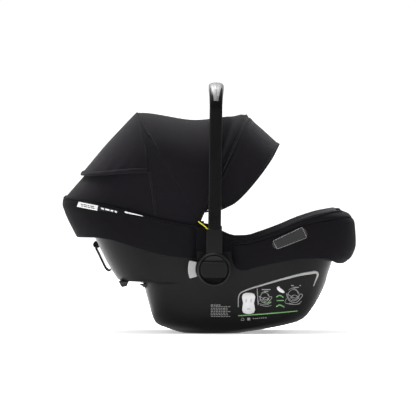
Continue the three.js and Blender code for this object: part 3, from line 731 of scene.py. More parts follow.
bowlShape = {
    "floor": [[-290, 297.7], [-60, 150], [-5, 118], [30, 105], [70, 110], [120, 138], [184, 180],
              [253, 222], [300, 250]],
    "rear": -284, "foot": 290, "half": 178, "cloth": 1.5,
}
bowlPath = planPath("all", 0, 26, 14, 12)
bowlEdge = planPoints(bowlPath, 0.0, *(bowlShape[side] * mm for side in ("rear", "foot", "half")))


def bowlHeight(x, reach):
    # the floor line at x, rising with the sixth power of the reach to the rim
    floor = smoothRead(bowlShape["floor"], x)
    return floor + (smoothRead(shellShape["rim"], x) - floor) * reach ** 6


def reachAt(x, y):
    # how far out a place lies, as a share of the way to the rim: the largest over the outline's edges
    p = bowlEdge[:, :2]
    e = np.roll(p, -1, 0) - p
    cross = p[:, 0] * e[:, 1] - p[:, 1] * e[:, 0]
    keep = np.abs(cross) > 1e-9
    shares = (x[..., None] * e[keep, 1] - y[..., None] * e[keep, 0]) / cross[keep]
    return shares.max(axis=-1)


def bowlPiece(name, reaches, lifts, material, quilt=0.0):
    # a round walk of the bowl from its middle to its edge at the given lifts
    reach = np.array(reaches)[:, None]
    x, y = bowlEdge[:, 0] * reach, bowlEdge[:, 1] * reach
    z = bowlHeight(x, np.minimum(reach, 1)) + np.array(lifts)[:, None] * mm
    if quilt:
        z = z - quilt * (bump(reach, 0.7, 0.012) + 0.7 * bump(x, 0.1, 0.004) * (reach < 0.7)
                         + 0.7 * bump(x, -0.07, 0.004) * (reach < 0.7))
        z = z + 0.6 * mm * ripple(x * 60, y * 60, 6, 11) * np.minimum(reach * 4, 1)
    return gridPiece(name, np.stack([x, y, z], axis=-1), material, wrap=True)


def seatPad():
    # one even pad 16 mm thick that rolls over at the rim
    roll = [0.92, 0.94, 0.955, 0.97, 0.98, 0.988, 0.994, 0.998, 1, 1, 0.99]
    reach = np.concatenate([np.linspace(0, 0.9, 60), roll])
    lift = np.concatenate([np.full(60, 16.0), [16.2, 16.4, 16.3, 15.6, 14.4, 12.6, 10.2, 7.4, 4, 0.5, -2]])
    pad = bowlPiece("seatPad", reach, lift, padCloth, 1.6 * mm)
    outward(pad.data)
    addThickness(pad, bowlShape["cloth"] * mm)
    place(pad, "seat", "seat_fabric", "seat_pad")


seatPad()
foamSlots = frame["nodes"]["foam_liner"].data.materials
foamSlots.clear()
foamSlots.append(foamGrey)


def lying(x, y, lift):
    # places on the bowl raised by a lift in mm
    z = bowlHeight(x, reachAt(x, y)) + lift * mm
    return np.stack([x, y, z], axis=-1)


def pillow(name, fromX, toX, middle, half, low, high, material, crown=5.0, rows=60, cols=40):
    # a crowned closed pillow on the bowl: top and bottom meet in a seam all round
    v, u = np.linspace(0, 1, rows)[:, None], np.linspace(-1, 1, cols)[None, :]
    x = (fromX + (toX - fromX) * v) * mm + 0 * u
    y = (middle(v) + u * half(v)) * mm
    full = (1 - np.abs(u) ** 6) ** 0.5 * (1 - np.abs(2 * v - 1) ** 10) ** 0.5
    top = lying(x, y, low + (high - low) * (0.3 + 0.7 * full) + crown * full * (1 - u ** 2))
    bottom = lying(x, y, low + (high - low) * 0.3 * (1 - full))
    grid = np.concatenate([top, bottom[:, ::-1]], axis=1)
    ends = [np.repeat(grid[k:k + 1].mean(axis=1, keepdims=True), grid.shape[1], 1) for k in (0, -1)]
    obj = gridPiece(name, np.concatenate([ends[0], grid, ends[1]]), material, wrap=True)
    outward(obj.data)
    return obj


def puffed(obj, voxel, pressure, cap):
    # cloth under a little inner pressure, so the pad swells between its seams; the move is capped
    scene = bpy.context.scene
    bpy.context.view_layer.objects.active = obj
    remesh = obj.modifiers.new("evenMesh", "REMESH")
    remesh.mode, remesh.voxel_size, remesh.use_smooth_shade = "VOXEL", voxel, True
    bpy.ops.object.modifier_apply(modifier=remesh.name)
    before = pointsOf(obj.data)
    cloth = obj.modifiers.new("filling", "CLOTH")
    cloth.settings.use_pressure, cloth.settings.uniform_pressure_force = True, pressure
    cloth.settings.effector_weights.gravity = 0
    cloth.settings.quality = 4
    for number in range(1, 21):
        scene.frame_set(number)
    shape = obj.evaluated_get(bpy.context.evaluated_depsgraph_get()).to_mesh()
    move = pointsOf(shape) - before
    obj.modifiers.remove(cloth)
    scene.frame_set(1)
    far = np.linalg.norm(move, axis=1)[:, None] + 1e-9
    setPoints(obj.data, before + move * np.minimum(1, cap / far))
    addSubdivision(obj)


insertShape = {"half": 106, "pinch": 24, "x": [-120, 90], "lift": [17.5, 27], "crown": 5}
newborn = pillow("newbornInsert", *insertShape["x"], lambda v: 0 * v,
                 lambda v: insertShape["half"] - insertShape["pinch"] * (2 * v - 1) ** 4,
                 *insertShape["lift"], insertCloth, insertShape["crown"])
puffed(newborn, 0.0055, 3.0, 0.004)
place(newborn, "seat", "lining_fabric", "newborn_insert")
print("pads made")


def strapLine(v):
    # a shoulder strap's distance from the middle in mm: straight, from 48 to 20
    return -48 + 28 * v


def ribbon(name, fromX, toX, middle, half, low, thick, material, rows=40):
    # flat webbing on the bowl, with a slight edge bead
    v, u = np.linspace(0, 1, rows)[:, None], np.linspace(-1, 1, 9)[None, :]
    x = (fromX + (toX - fromX) * v) * mm + 0 * u
    y = (middle(v) + u * half) * mm
    obj = gridPiece(name, lying(x, y, low + 0.25 * np.abs(u) ** 8), material, flip=True)
    addThickness(obj, thick * mm, 1.0)
    return obj


def harness():
    # shoulder straps with puffed pads, the crotch strap and the pull strap
    for hand, name in ((1, "right"), (-1, "left")):
        strap = ribbon(f"shoulderStrap_{name}", -121, 4, lambda v: hand * strapLine(v), 18, 38, 1.6, webbing)
        place(strap, "seat", "webbing", f"shoulder_strap_{name}")
        pad = pillow(f"shoulderPad_{name}", -112, -28, lambda v: hand * (strapLine(v * 0.64 + 0.07) - 3),
                     lambda v: 23 + 0 * v, 40.5, 46, padCloth, 3.0, 36, 20)
        puffed(pad, 0.003, 4.0, 0.003)
        place(pad, "seat", "seat_fabric", f"shoulder_pad_{name}")
    for name, node, *spot in (("crotchStrap", "crotch_strap", 64.5, 90, 17, 38),
                              ("pullStrap", "pull_strap", 194.5, 246, 13, 18.5)):
        fromX, toX, half, low = spot
        strap = ribbon(name, fromX, toX, lambda v: 0 * v, half, low, 1.8, webbing, 16)
        place(strap, "seat", "webbing", node)


harness()
print("harness made")


headShape = {"x": -150, "length": 112, "half": 98, "wing": 48, "turn": 30, "lift": 26,
             "board": 4.5, "pad": 15}
backAngle = math.atan(0.642)


def headSpot(s, across, lift):
    # s runs up the back, across to the left, lift away from the back, all in mm
    floor = smoothRead(bowlShape["floor"], headShape["x"] * mm)
    c, n = math.cos(backAngle), math.sin(backAngle)
    x = headShape["x"] * mm + (-c * s + n * lift) * mm
    z = floor + (n * s + c * lift) * mm
    return np.stack([x, across * mm + 0 * x, z], axis=-1)


def channelLine(count, out=0.0):
    # half round U: a flat back, two quarter turns and two wings, as (across, lift) points
    turn, half, wing = headShape["turn"], headShape["half"], headShape["wing"]
    a = np.linspace(0, math.pi / 2, 12)
    left = np.column_stack([-half + turn - (turn - out) * np.cos(a), turn - (turn - out) * np.sin(a)])
    line = np.vstack([[[-half + out, wing]], left, (left * [-1, 1])[::-1], [[half - out, wing]]])
    return evenly(line, count)


def closeEnds(mesh):
    # fills each open loop of a mesh
    with editing(mesh) as work:
        bmesh.ops.remove_doubles(work, verts=work.verts, dist=1e-6)
        bmesh.ops.holes_fill(work, edges=[e for e in work.edges if e.is_boundary], sides=0)


def headrest():
    # a bent board, and a pad whose face swells from the board's line by (1 - s^8)(1 - t^10) to the half power
    length, lift, thick = headShape["length"], headShape["lift"], headShape["board"]
    line = channelLine(60)
    s = np.linspace(0, length, 24)[:, None]
    board = gridPiece("headrestBoard", headSpot(s, line[None, :, 0], lift + line[None, :, 1]), trimBlack)
    outward(board.data)
    addThickness(board, thick * mm, 0)
    addBevel(board, 1.2 * mm)
    inner, outer = channelLine(60, thick + 1), channelLine(60, thick + headShape["pad"] - 3)
    v = np.linspace(0, 1, 30)[:, None]
    full = (1 - np.abs(2 * v - 1) ** 8) ** 0.5 * (1 - np.abs(np.linspace(-1, 1, 60)[None]) ** 10) ** 0.5
    s = 3 + (length - 6) * v
    face = inner + (outer - inner) * full[..., None]
    top = headSpot(s, face[..., 0], lift + face[..., 1])
    bottom = headSpot(s, inner[None, :, 0] + 0 * v, lift + inner[None, :, 1] + 0 * v)
    grid = np.concatenate([top, bottom[:, ::-1]], axis=1)
    pad = gridPiece("headrestPad", np.concatenate([grid[:1], grid, grid[-1:]]), insertCloth, wrap=True)
    closeEnds(pad.data)
    outward(pad.data)
    puffed(pad, 0.004, 3.0, 0.003)
    place(board, "headrest", "trim_plastic", "headrest_board")
    place(pad, "headrest", "lining_fabric", "headrest_pad")


headrest()
print("headrest made")


handleShape = {"lean": 0.7, "top": 418, "bottomSide": 207, "topSide": 196, "bend": 52, "low": 82,
               "bar": [29, 16], "grip": [34, 18], "gripDrop": 46}


def leaned(points):
    # hub coordinates in mm turned by the handle's lean and set on the hub
    x, y, z = np.moveaxis(np.asarray(points, float) * mm, -1, 0)
    a = math.radians(handleShape["lean"])
    c, n = math.cos(a), math.sin(a)
    return np.stack([x * c + z * n, y, z * c - x * n], axis=-1) + hubAt


def handleLine(count):
    # up one side, a quarter round, across the top and down the other side, in hub millimetres
    bend, low, bottomSide = (handleShape[name] for name in ("bend", "low", "bottomSide"))
    top = handleShape["top"] - handleShape["bar"][1] / 2
    start = top - bend
    side = bottomSide - (start - low) * (bottomSide - handleShape["topSide"]) / (top - low)
    a = np.linspace(0, math.pi / 2, 14)
    corner = np.column_stack([0 * a, -side + bend * (1 - np.cos(a)), start + bend * np.sin(a)])
    half = np.vstack([[[0, -bottomSide, low]], corner])
    return evenly(np.vstack([half, (half * [1, -1, 1])[::-1]]), count)


def handleBar():
    # a squarish tube, a leather sleeve that swells over its top, and the sleeve's seam underneath
    line = handleLine(220)
    bar, grip = [np.array(handleShape[name]) / 2 * mm for name in ("bar", "grip")]
    tube = sweep("handleTube", leaned(line), oval(*bar, 44, 5), handleBlack)
    gripLine = line[line[:, 2] > handleShape["top"] - handleShape["gripDrop"]]
    ends = np.minimum(np.arange(len(gripLine)), np.arange(len(gripLine))[::-1])
    thin = oval(*(bar + 0.3 * mm), 32, 2.5)
    sections = thin + (oval(*grip, 32, 2.6) - thin) * ease(ends / 9)[:, None, None]
    sleeve = sweep("handleGrip", leaned(gripLine), sections, leatherBlack, sharp=50)
    inward = np.cross([1, 0, 0], unit(np.gradient(gripLine, axis=0)))
    under = gripLine + inward * (handleShape["grip"][1] / 2 + 0.1)
    seam = stitches("gripSeam", leaned(under)[3:-3], darkThread, 4.0, (2.6, 0.9), flat=(0, 0, -1))
    place(tube, "handle", "handle_metal", "handle_tube")
    place(sleeve, "handle", "leatherette", "handle_grip")
    place(seam, "handle", "leatherette")


handleBar()

hubShape = {"radius": 38.3, "button": 32, "armTop": 90, "bar": [-18.0, 17.0]}


def hubPiece():
    # the drum with a raised bevelled ring, and the flat arm up to the bar
    r, b, top = hubShape["radius"], hubShape["button"], hubShape["armTop"]
    ring = turned("hubRing", [[8.5, -202], [b + 0.4, -202], [b + 0.4, -215.6], [b + 1.2, -217],
                              [b + 2.6, -217.4],
                              [r - 2.2, -216.6], [r - 0.6, -215], [r, -213], [r, -196.5], [r - 1.2, -195],
                              [8.5, -195], [8.5, -202]], hubAt, hubGrey)
    a = np.linspace(math.radians(62), math.radians(118), 14)
    shoulder = np.array([[-17.8, top - 12], [-17.6, top - 3], [-16, top - 0.8], [-13, top]])
    arc = np.column_stack([r * np.cos(a), r * np.sin(a)]) * 0.985
    x, z = np.vstack([shoulder, (shoulder * [-1, 1])[::-1], arc]).T
    outline = leaned(np.column_stack([x, 0 * x, z]))[:, [0, 2]]
    return ring, plate("hubArm", outline, -215 * mm, -197 * mm, hubGrey, 1.6)


def hubButton():
    # a dished disc with a proud bar across it; the parts above and below the bar are cut back
    b = hubShape["button"]
    disc = turned("hubButtonDisc", [[0, -209.2], [b - 0.4, -209.2], [b - 0.2, -213.6], [b - 1.4, -214.6],
                                    [b - 3, -213.8], [b * 0.6, -212.6], [0, -212.2]], hubAt, hubGrey)
    low, high = np.arcsin(np.array(hubShape["bar"]) / (b - 1.4))
    a = np.concatenate([np.linspace(low, high, 24), np.linspace(math.pi - high, math.pi - low, 24)])
    outline = np.column_stack([np.cos(a), np.sin(a)]) * (b - 1.4) * mm + hubAt[[0, 2]]
    return disc, plate("hubButtonBar", outline, -219.6 * mm, -212 * mm, hubGrey, 1.4, 4)


def hubs():
    # both hands: the ring and arm turn with the handle, the disc and bar with the button
    right = (*hubPiece(), *hubButton())
    left = [mirroredCopy(piece, piece.name + "_left") for piece in right]
    for hand, (ring, arm, disc, bar) in (("right", right), ("left", left)):
        place(ring, "handle", "trim_plastic", f"hub_{hand}")
        place(arm, "handle", "trim_plastic")
        place(disc, f"button_{hand}", "trim_plastic", f"hub_button_{hand}")
        place(bar, f"button_{hand}", "trim_plastic")


hubs()

springShape = {"turns": 2.5, "radius": 20, "wire": 0.7, "from": 203.2, "to": 207.8, "wall": 202.3}


def buttonSprings():
    # a coil of wire behind each button: a circle's points stepped outwards turn by turn
    t = np.linspace(0, 1, 120)
    a = t * springShape["turns"] * 2 * math.pi
    x, z = springShape["radius"] * np.cos(a), springShape["radius"] * np.sin(a)
    out = springShape["from"] + (springShape["to"] - springShape["from"]) * t
    wire = oval(springShape["wire"] * mm, springShape["wire"] * mm, 8)
    for hand, name in ((-1, "right"), (1, "left")):
        line = np.column_stack([x, hand * out, z]) * mm + hubAt * [1, 0, 1]
        coil = sweep(f"buttonSpring_{name}", line, wire, steel, side=(0, 1, 0))
        place(coil, "handle", "steel", f"button_spring_{name}")
        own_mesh(coil)


buttonSprings()
print("handle made")


guideShape = {"reach": [41, 58.5], "turn": [[158, 204], [201, 161]], "y": [-192.5, -172]}  # mm and degrees


def beltGuides():
    # a crescent between two arcs round the hub
    arcs = [reach * np.column_stack([np.cos(a), np.sin(a)]) for reach, a in
            zip(guideShape["reach"], (np.radians(np.linspace(*turn, 20)) for turn in guideShape["turn"]))]
    low, high = np.array(guideShape["y"]) * mm
    guide = plate("beltGuide_right", np.vstack(arcs) * mm + hubAt[[0, 2]], low, high, paleGrey, 1.6, 4)
    other = mirroredCopy(guide, "beltGuide_left")
    place(guide, "seat", "pale_plastic", "belt_guide_right")
    place(other, "seat", "pale_plastic", "belt_guide_left")


beltGuides()


def onShell(flat, lift=0.15):
    # [x, height] places in mm laid on the shell's right side
    flat = np.asarray(flat, float) * mm
    y = sideY(flat[:, 0], flat[:, 1], lambda z: shellPoints(shellPath, z), lift * mm)
    return np.column_stack([flat[:, 0], y, flat[:, 1]])


def printLine(points, widths):
    # the two edges of a printed line of changing width, in [x, height] mm
    points = np.asarray(points, float)
    data = np.column_stack([points, np.broadcast_to(np.asarray(widths, float), (len(points),))])
    data = spline(data, max(6, int(goneAlong(points)[-1] / 2.5)))
    ahead = unit(np.gradient(data[:, :2], axis=0))
    side = np.column_stack([-ahead[:, 1], ahead[:, 0]]) * data[:, 2:] / 2
    return data[:, :2] - side, data[:, :2] + side


def printed(name, lines, fills, material, lift=0.15):
    # printed lines and filled shapes as one thin skin on the shell
    verts, faces = [], []
    for low, high in lines:
        base, count = len(verts), len(low)
        verts += np.vstack([low, high]).tolist()
        ring = base + np.arange(count - 1)
        faces += np.column_stack([ring, ring + 1, ring + 1 + count, ring + count]).tolist()
    for outline in fills:
        base = len(verts)
        verts += np.asarray(outline, float).tolist()
        corners = [Vector((x, z, 0)) for x, z in outline]
        faces += [[base + k for k in tri] for tri in tessellate_polygon([corners])]
    mesh = bpy.data.meshes.new(name)
    mesh.from_pydata(onShell(verts, lift).tolist(), [], faces)
    obj = pieceFrom(name, mesh, material)
    with editing(mesh) as work:
        bmesh.ops.recalc_face_normals(work, faces=work.faces)
        bmesh.ops.reverse_faces(work, faces=[f for f in work.faces if f.normal.y > 0])
    addThickness(obj, 0.12 * mm, 1.0)
    place(obj, "seat", "shell_plastic")


def rounded(x, z, wide, tall, corner=1.0):
    # a small rounded box outline about x and z
    a = np.linspace(0, 2 * math.pi, 17)[:-1]
    c, n = np.cos(a), np.sin(a)
    return np.column_stack([x + np.sign(c) * (wide / 2 - corner) + corner * c,
                            z + np.sign(n) * (tall / 2 - corner) + corner * n])


def ring(x, z, radius, squash=1.0, count=14):
    # points of a circle about x and z, its height times squash
    a = np.linspace(0, 2 * math.pi, count + 1)
    return np.column_stack([x + radius * np.cos(a), z + radius * squash * np.sin(a)])


labelShape = {  # mm, [x, height]; a drawing's lines are about its own middle, each with its width
    "frame": [([[66, 61], [68, 88], [82, 99], [116, 110], [162, 123.5], [207, 135], [238, 140]],
               [1.6, 2.2, 3, 3.6, 4.4, 5.6, 6.6]),
              ([[238, 140], [244, 138.5], [245.5, 133], [242, 124], [236, 108]], [6.6, 5.5, 4.5, 3, 1.2]),
              ([[108.5, 104], [110, 84], [111, 66]], 1.4)],
    "cushion": [[77, 91], [83, 93.5], [89.5, 94], [96, 93.5], [102, 91], [104.5, 84], [103, 76], [101.5, 70],
                [103, 63], [104, 55], [101.5, 48.5], [95.5, 46], [89.5, 45.5], [83.5, 46], [77.5, 48.5],
                [75, 55], [76, 63], [77.5, 70], [76, 76], [74.5, 84]],
    "slots": [(84, 76, 2, 8), (95, 76, 2, 8), (89.5, 57, 8, 2)],
    "greenLine": ([[66, 41.5], [130, 46], [200, 52]], [2.2, 2.4, 1.8]),
    "drawings": [(127, 80, 1.05), (192, 84, 1.35)],
    "drawing": [([[-13, 6], [-8, -6], [4, -9], [14, 2], [11, 5], [3, -2], [-6, 2], [-13, 6]], 1.1),
                ([[-9, 12], [-3, 15], [4, 12], [7, 5]], 0.9), ([[-7, -3], [-2, 3], [5, 2], [9, -4]], 0.8),
                ([[-12, -2], [-15, -9], [-6, -12], [6, -12], [13, -7]], 0.9)],
    "overDrawings": [(129, 101, 20, 2), (129, 97, 10, 2), (196, 110, 22, 2), (197, 106, 12, 2)],
    "seatMark": [[153, 106], [158, 109], [161, 104], [168, 99], [171, 94], [166, 93], [159, 96], [154, 101]],
    "greenMarks": [([[152, 84], [160, 88], [168, 83]], 2.2), ([[152, 62], [160, 66], [170, 61]], 2.4),
                   ([[124, 72], [132, 70], [140, 73]], 1.4)],
    "rowMark": ([[72, 31], [76, 37], [80, 31], [72, 31]], 1.0),
    "dashRows": 8,
}


def sideLabel():
    # a plain guide panel: a swept frame line, a cushion shape, small drawings and rows of dashes
    shape = labelShape
    printed("labelFrame", [printLine(*line) for line in shape["frame"]], [], greyInk)
    printed("labelCushion", [], [shape["cushion"]], paleInk)
    printed("labelCushionSlots", [], [rounded(*slot, 0.9) for slot in shape["slots"]], greyInk, 0.3)
    printed("labelGreenLine", [printLine(*shape["greenLine"])], [], greenInk)
    seats = []
    for x, z, size in shape["drawings"]:  # each drawing: a bucket, its handle and a pad curve
        lines = [printLine(np.array(line) * size + [x, z], wide) for line, wide in shape["drawing"]]
        seats += [lines[0], printLine(ring(x - 1, z + 4, 9.5 * size), 0.9),
                  printLine(ring(x + 1, z - 1, 5 * size, 0.8), 0.9),
                  printLine([[x - 12, z - 14], [x + 3, z - 17], [x + 14, z - 15]], 1.0), *lines[1:]]
    printed("labelDrawings", seats, [rounded(*spot, 0.9) for spot in shape["overDrawings"]], greyInk)
    printed("labelSeatMark", [], [shape["seatMark"]], paleInk)
    printed("labelGreenMarks", [printLine(*line) for line in shape["greenMarks"]],
            [rounded(161, 76, 16, 2, 0.9)], greenInk)
    dots = [rounded(101 + 4.6 * k, 35 + 0.3 * k, 3.2, 1.9, 0.7) for k in range(7)]
    printed("labelMarksRow", [printLine(*shape["rowMark"])], [rounded(90, 34, 7, 6, 1.2), *dots], greyInk)
    dashes = []
    for row in range(shape["dashRows"]):
        x, z, end = 4.5, 66 - row * 3.7, (42 + 4 * math.sin(row * 2.1) if row else 24)
        while x < end:
            wide = 3.0 + 2.4 * abs(math.sin(x * 1.7 + row))
            dashes.append(rounded(x + wide / 2, z, wide, 1.4 if row else 1.9, 0.5))
            x += wide + 1.3
    printed("labelDashes", [], dashes, greyInk)


sideLabel()
print("prints made")


def onCover(flat, at, lift):
    # [x, height] places in mm laid on a cover's right side
    flat = np.asarray(flat, float) * mm
    y = sideY(flat[:, 0], flat[:, 1], at, lift * mm)
    return np.column_stack([flat[:, 0], y, flat[:, 1]])


def patch(name, corners, at, lift, thick, material, roundness=0.0, rows=10, cols=30):
    # a four-cornered label of even thickness that follows the cover; roundness pulls its corners in
    a, b, c, d = np.array(corners, float)
    u, v = np.meshgrid(np.linspace(0, 1, cols), np.linspace(0, 1, rows))
    if roundness:
        su, sv = 2 * u - 1, 2 * v - 1
        u = 0.5 + 0.5 * su * np.sqrt(1 - roundness * 0.5 * sv ** 4)
        v = 0.5 + 0.5 * sv * np.sqrt(1 - roundness * 0.5 * su ** 10)
    u, v = u[..., None], v[..., None]
    flat = (a * (1 - u) + b * u) * (1 - v) + (d * (1 - u) + c * u) * v
    grid = onCover(flat.reshape(-1, 2), at, lift).reshape(rows, cols, 3)
    obj = gridPiece(name, grid, material)
    facing(obj.data, Vector((0, -1, 0)))
    addThickness(obj, thick * mm, 1.0)
    return obj


tagShape = {  # mm, [x, height]; the marks and dashes are [x, height, length]
    "side": [[139, 210.5], [214, 246], [226, 219], [149, 189.5]], "sideStitches": 0.87,
    "seam": [[-293, 299], [-249, 290.5], [-251.5, 279.5], [-297, 288]],
    "tail": [[-248, 290], [-203, 280], [-205, 274], [-251, 280]],
    # the thin pale strip at the woven tag's end: a painted highlight, not a part of its own
    "tabHighlight": [[-190, 278.5], [-148, 268], [-148, 266.6], [-190, 275]],
    "marks": [(-243, 286.5, 7), (-233, 284.4, 9), (-221, 281.6, 6), (-212, 279.4, 5)],
    "dashes": [(0, 5), (6.5, 8), (16, 4), (21.5, 9)],
}


def dash(x, z, long, slope, tall):
    # a short mark that leans along the cover's edge
    return [[x, z], [x + long, z - long * slope], [x + long, z - long * slope - tall], [x, z - tall]]


def tags():
    # the leather tag on the foot cover and the woven tag sewn in at the head end, with a thin pale strip at
    # the woven tag's end that is a painted highlight on its edge
    lift = footCoverShape["puff"] - 0.2
    corners = np.array(tagShape["side"], float)
    tag = patch("sideTag", corners, footAt, lift, 1.4, tagLeather, 0.75, 20, 60)
    addBevel(tag, 0.0004, 2)
    place(tag, "seat", "leatherette", "side_tag")
    middle = corners.mean(axis=0)
    inner = middle + (corners - middle) * tagShape["sideStitches"]
    line = onCover(evenly(np.vstack([inner, inner[:1]]), 60), footAt, lift + 1.5)
    place(stitches("sideTagStitches", line, paleInk, 3.6, (2.4, 0.6)), "seat", "leatherette")
    woven = [patch("seamTag", tagShape["seam"], rearAt, 1.6, 0.6, tagWhite),
             patch("seamTagTail", tagShape["tail"], rearAt, 1.8, 0.5, webbing)]
    for k, (x, z, long) in enumerate(tagShape["marks"]):
        spot = dash(x, z, long, 0.23, 3.4)
        woven.append(patch(f"seamTagMark{k}", spot, rearAt, 2.4, 0.25, paleInk, 0, 4, 6))
    for row in range(2):
        for k, (start, long) in enumerate(tagShape["dashes"]):
            spot = dash(start + row - 289, 295 - start * 0.19 - 4 * row, long, 0.19, 1.9)
            woven.append(patch(f"seamTagDash{row}{k}", spot, rearAt, 2.25, 0.2, shellBlack, 0, 3, 5))
    # a thin strip of pale ink along the woven tag's end: a painted highlight on the strip's edge
    woven.append(patch("seamTab", tagShape["tabHighlight"], rearAt, 2.4, 0.8, paleInk, 0.4, 5, 20))
    for piece in woven:
        place(piece, "seat", "seat_fabric")


tags()


def sideWrap():
    # the pad's cloth turned down over the shell's edge between the two covers, behind the handle
    x = np.linspace(-29, 52, 36)
    rim = smoothRead(shellShape["rim"], x * mm) / mm
    rows = [onShell(np.column_stack([x, 187 + (rim - 187) * share]), 1.4 + 1.2 * math.sin(math.pi * share))
            for share in np.linspace(0, 1, 16)]
    rows += [rows[-1] + [0, inward * mm, up * mm]
             for inward, up in ((0.2, 1.6), (1.8, 3), (4.2, 3.4), (7, 2.6), (9, 0))]
    wrap = gridPiece("sideWrap_right", np.array(rows), coverCloth)
    facing(wrap.data, Vector((0, -1, 0)))
    addThickness(wrap, 1.1 * mm, -1)
    for piece in (wrap, mirroredCopy(wrap, "sideWrap_left")):
        place(piece, "seat", "seat_fabric")


sideWrap()


def coverPiping():
    # a thin cord sewn along each cover's upper edge, where it meets the canopy or the pad
    for name, shape, at in (("rearPiping", rearCoverShape, rearAt), ("footPiping", footCoverShape, footAt)):
        edge = at(heightOn(shape["top"], at, 0.27), -2.2 * mm)[0] + [0, 0, 1.2 * mm]
        cord = sweep(name, evenly(edge, 200), oval(1.9 * mm, 1.9 * mm, 10), coverCloth, side=(0, 0, 1))
        place(cord, "seat", "seat_fabric")


coverPiping()
print("tags made")


canopyShape = {"half": 182, "corner": 110, "base": 4, "dip": 44, "cloth": 1.4,
               "rear": {"tilt": -30.3, "reach": 283, "side": 175.5},
               "front": {"tilt": 24, "reach": 263, "side": 171}, "visorSide": 166.5, "visorTaper": 0.954,
               "visorEdge": [[-17, 262], [-6, 281], [27, 287], [48, 295], [71, 309], [105, 345],
                             [139, 391], [159, 427]]}


def arch(u, half, reach):
    # a round-cornered arch over the pivots: how far across and how far up, at a share u of its length
    half, reach = half * mm, reach * mm
    corner, base = canopyShape["corner"] * mm, canopyShape["base"] * mm
    leg, bow, top = reach - corner - base, corner * math.pi / 2, 2 * (half - corner)
    gone = np.minimum(u, 1 - u) * (2 * leg + 2 * bow + top)
    angle = np.clip((gone - leg) / corner, 0, math.pi / 2)
    across = -half + corner * (1 - np.cos(angle)) + np.maximum(gone - leg - bow, 0)
    up = base + np.minimum(gone, leg) + corner * np.sin(angle)
    return np.where(u <= 0.5, across, -across), up


def turnedArch(across, up, tilt):
    # the arch swung about the pivot line
    a = np.radians(tilt)
    x, z = canopyAt[0] + up * np.sin(a), canopyAt[2] + up * np.cos(a)
    return np.stack(np.broadcast_arrays(x, across, z), axis=-1)


def hoopRound(u, v):
    # rounds the fold over a hoop: fullness just beside it, on the bends and the top only
    return ease((np.minimum(u, 1 - u) - 0.18) / 0.16) * (v / 0.1) * np.exp(1 - v / 0.1)


def roofCloth(u, v, lift=0.0):
    # between the two hoops the cloth sinks, and folds in a little behind the front hoop on both sides
    rear, front = canopyShape["rear"], canopyShape["front"]
    tilt = rear["tilt"] + (front["tilt"] - rear["tilt"]) * v
    reach = rear["reach"] + (front["reach"] - rear["reach"]) * v - canopyShape["dip"] * np.sin(math.pi * v)
    low = bump(np.minimum(u, 1 - u), 0.26, 0.14)
    crease = -6.5 * bump(v, 0.885, 0.03) * low + 2.6 * bump(v, 0.955, 0.022) * (0.4 + 0.6 * low)
    swell = 1.6 * ripple(u * 26, v * 9, 5, 21) * np.sin(math.pi * v) * np.sin(math.pi * u)
    extra = crease + swell + 1.5 * hoopRound(u, v) + lift
    across, up = arch(u, canopyShape["half"] + extra * 0.6, reach + extra)
    return turnedArch(across, up, tilt)


def rearRimLine():
    # the rear cover's upper edge, a little inside it, where the canopy's cloth ends
    path = planPath("rear", -30, 50, 24, 20)
    edge = planPoints(path, 0.0, -0.326, 0.25, 0.186)
    edge[:, 2] = smoothRead(rearCoverShape["top"], edge[:, 0]) + 0.0015
    return evenly(edge, 400)


rearRim = rearRimLine()


def liftedOff(flat, middle, way, lift):
    # a cloth's points moved outwards by lift mm; outwards = (point - middle) stretched by way, made unit
    return flat + unit((flat - middle) * way) * np.asarray(lift)[..., None] * mm


def visorLine(share):
    # x and height of the visor's free edge at a share of the way up it
    edge = np.array(canopyShape["visorEdge"]) * mm
    x, z, at = spline(np.column_stack([edge, np.linspace(0, 1, len(edge))]), 800).T
    return np.interp(share, at, x), np.interp(share, at, z)


def rearCloth(u, v, lift=0.0):
    # drawn straight from the rear hoop down to the rim of the rear cover
    rear = canopyShape["rear"]
    across, up = arch(u, canopyShape["half"], rear["reach"])
    hoop = turnedArch(across, up, rear["tilt"])
    at = np.broadcast_to(u, np.broadcast(u, v).shape) * (len(rearRim) - 1)
    rim = np.stack([np.interp(at, np.arange(len(rearRim)), rearRim[:, k]) for k in range(3)], axis=-1)
    v = np.broadcast_to(v, at.shape)[..., None]
    flat = np.broadcast_to(hoop, rim.shape) * (1 - v) + rim * v
    return liftedOff(flat, [canopyAt[0], 0, canopyAt[2] + 0.03], [0.4, 1, 0.6], lift)


def visorCloth(u, v, lift=0.0):
    # from the front hoop out to the visor's free edge, with a sewn ridge near the hoop
    front = canopyShape["front"]
    across, up = arch(u, canopyShape["half"], front["reach"])
    hoop = turnedArch(across, up, front["tilt"])
    x, z = visorLine(np.minimum(up / (front["reach"] * mm), 1))
    edge = np.stack([x, across * canopyShape["visorTaper"], z], axis=-1)
    v = np.broadcast_to(v, np.broadcast(u, v).shape)[..., None]
    flat = np.broadcast_to(hoop, v.shape[:-1] + (3,)) * (1 - v) + edge * v
    return liftedOff(flat, [canopyAt[0] + 0.02, 0, canopyAt[2] + 0.05], [0.6, 1, 0.8], lift)


def clothGrid(surface, lift, cols=150, rows=46):
    # a surface of shares u and v read at even steps, lifted by lift(u, v) mm
    u, v = np.linspace(0, 1, cols)[None, :], np.linspace(0, 1, rows)[:, None]
    return surface(u, v, lift(u, v))


seamShape = {"side": [[-155, 494], [-150, 459], [-141, 414], [-132, 364], [-127, 338], [-122, 306],
                      [-117, 268]]}


flapShape = {"stand": 5.8, "roll": [4.9, 2.7], "hem": [[-345, 353], [-300, 355], [-248, 357.5],
                                                       [-202, 361.5],
                                                     [-130, 366], [-100, 367]]}


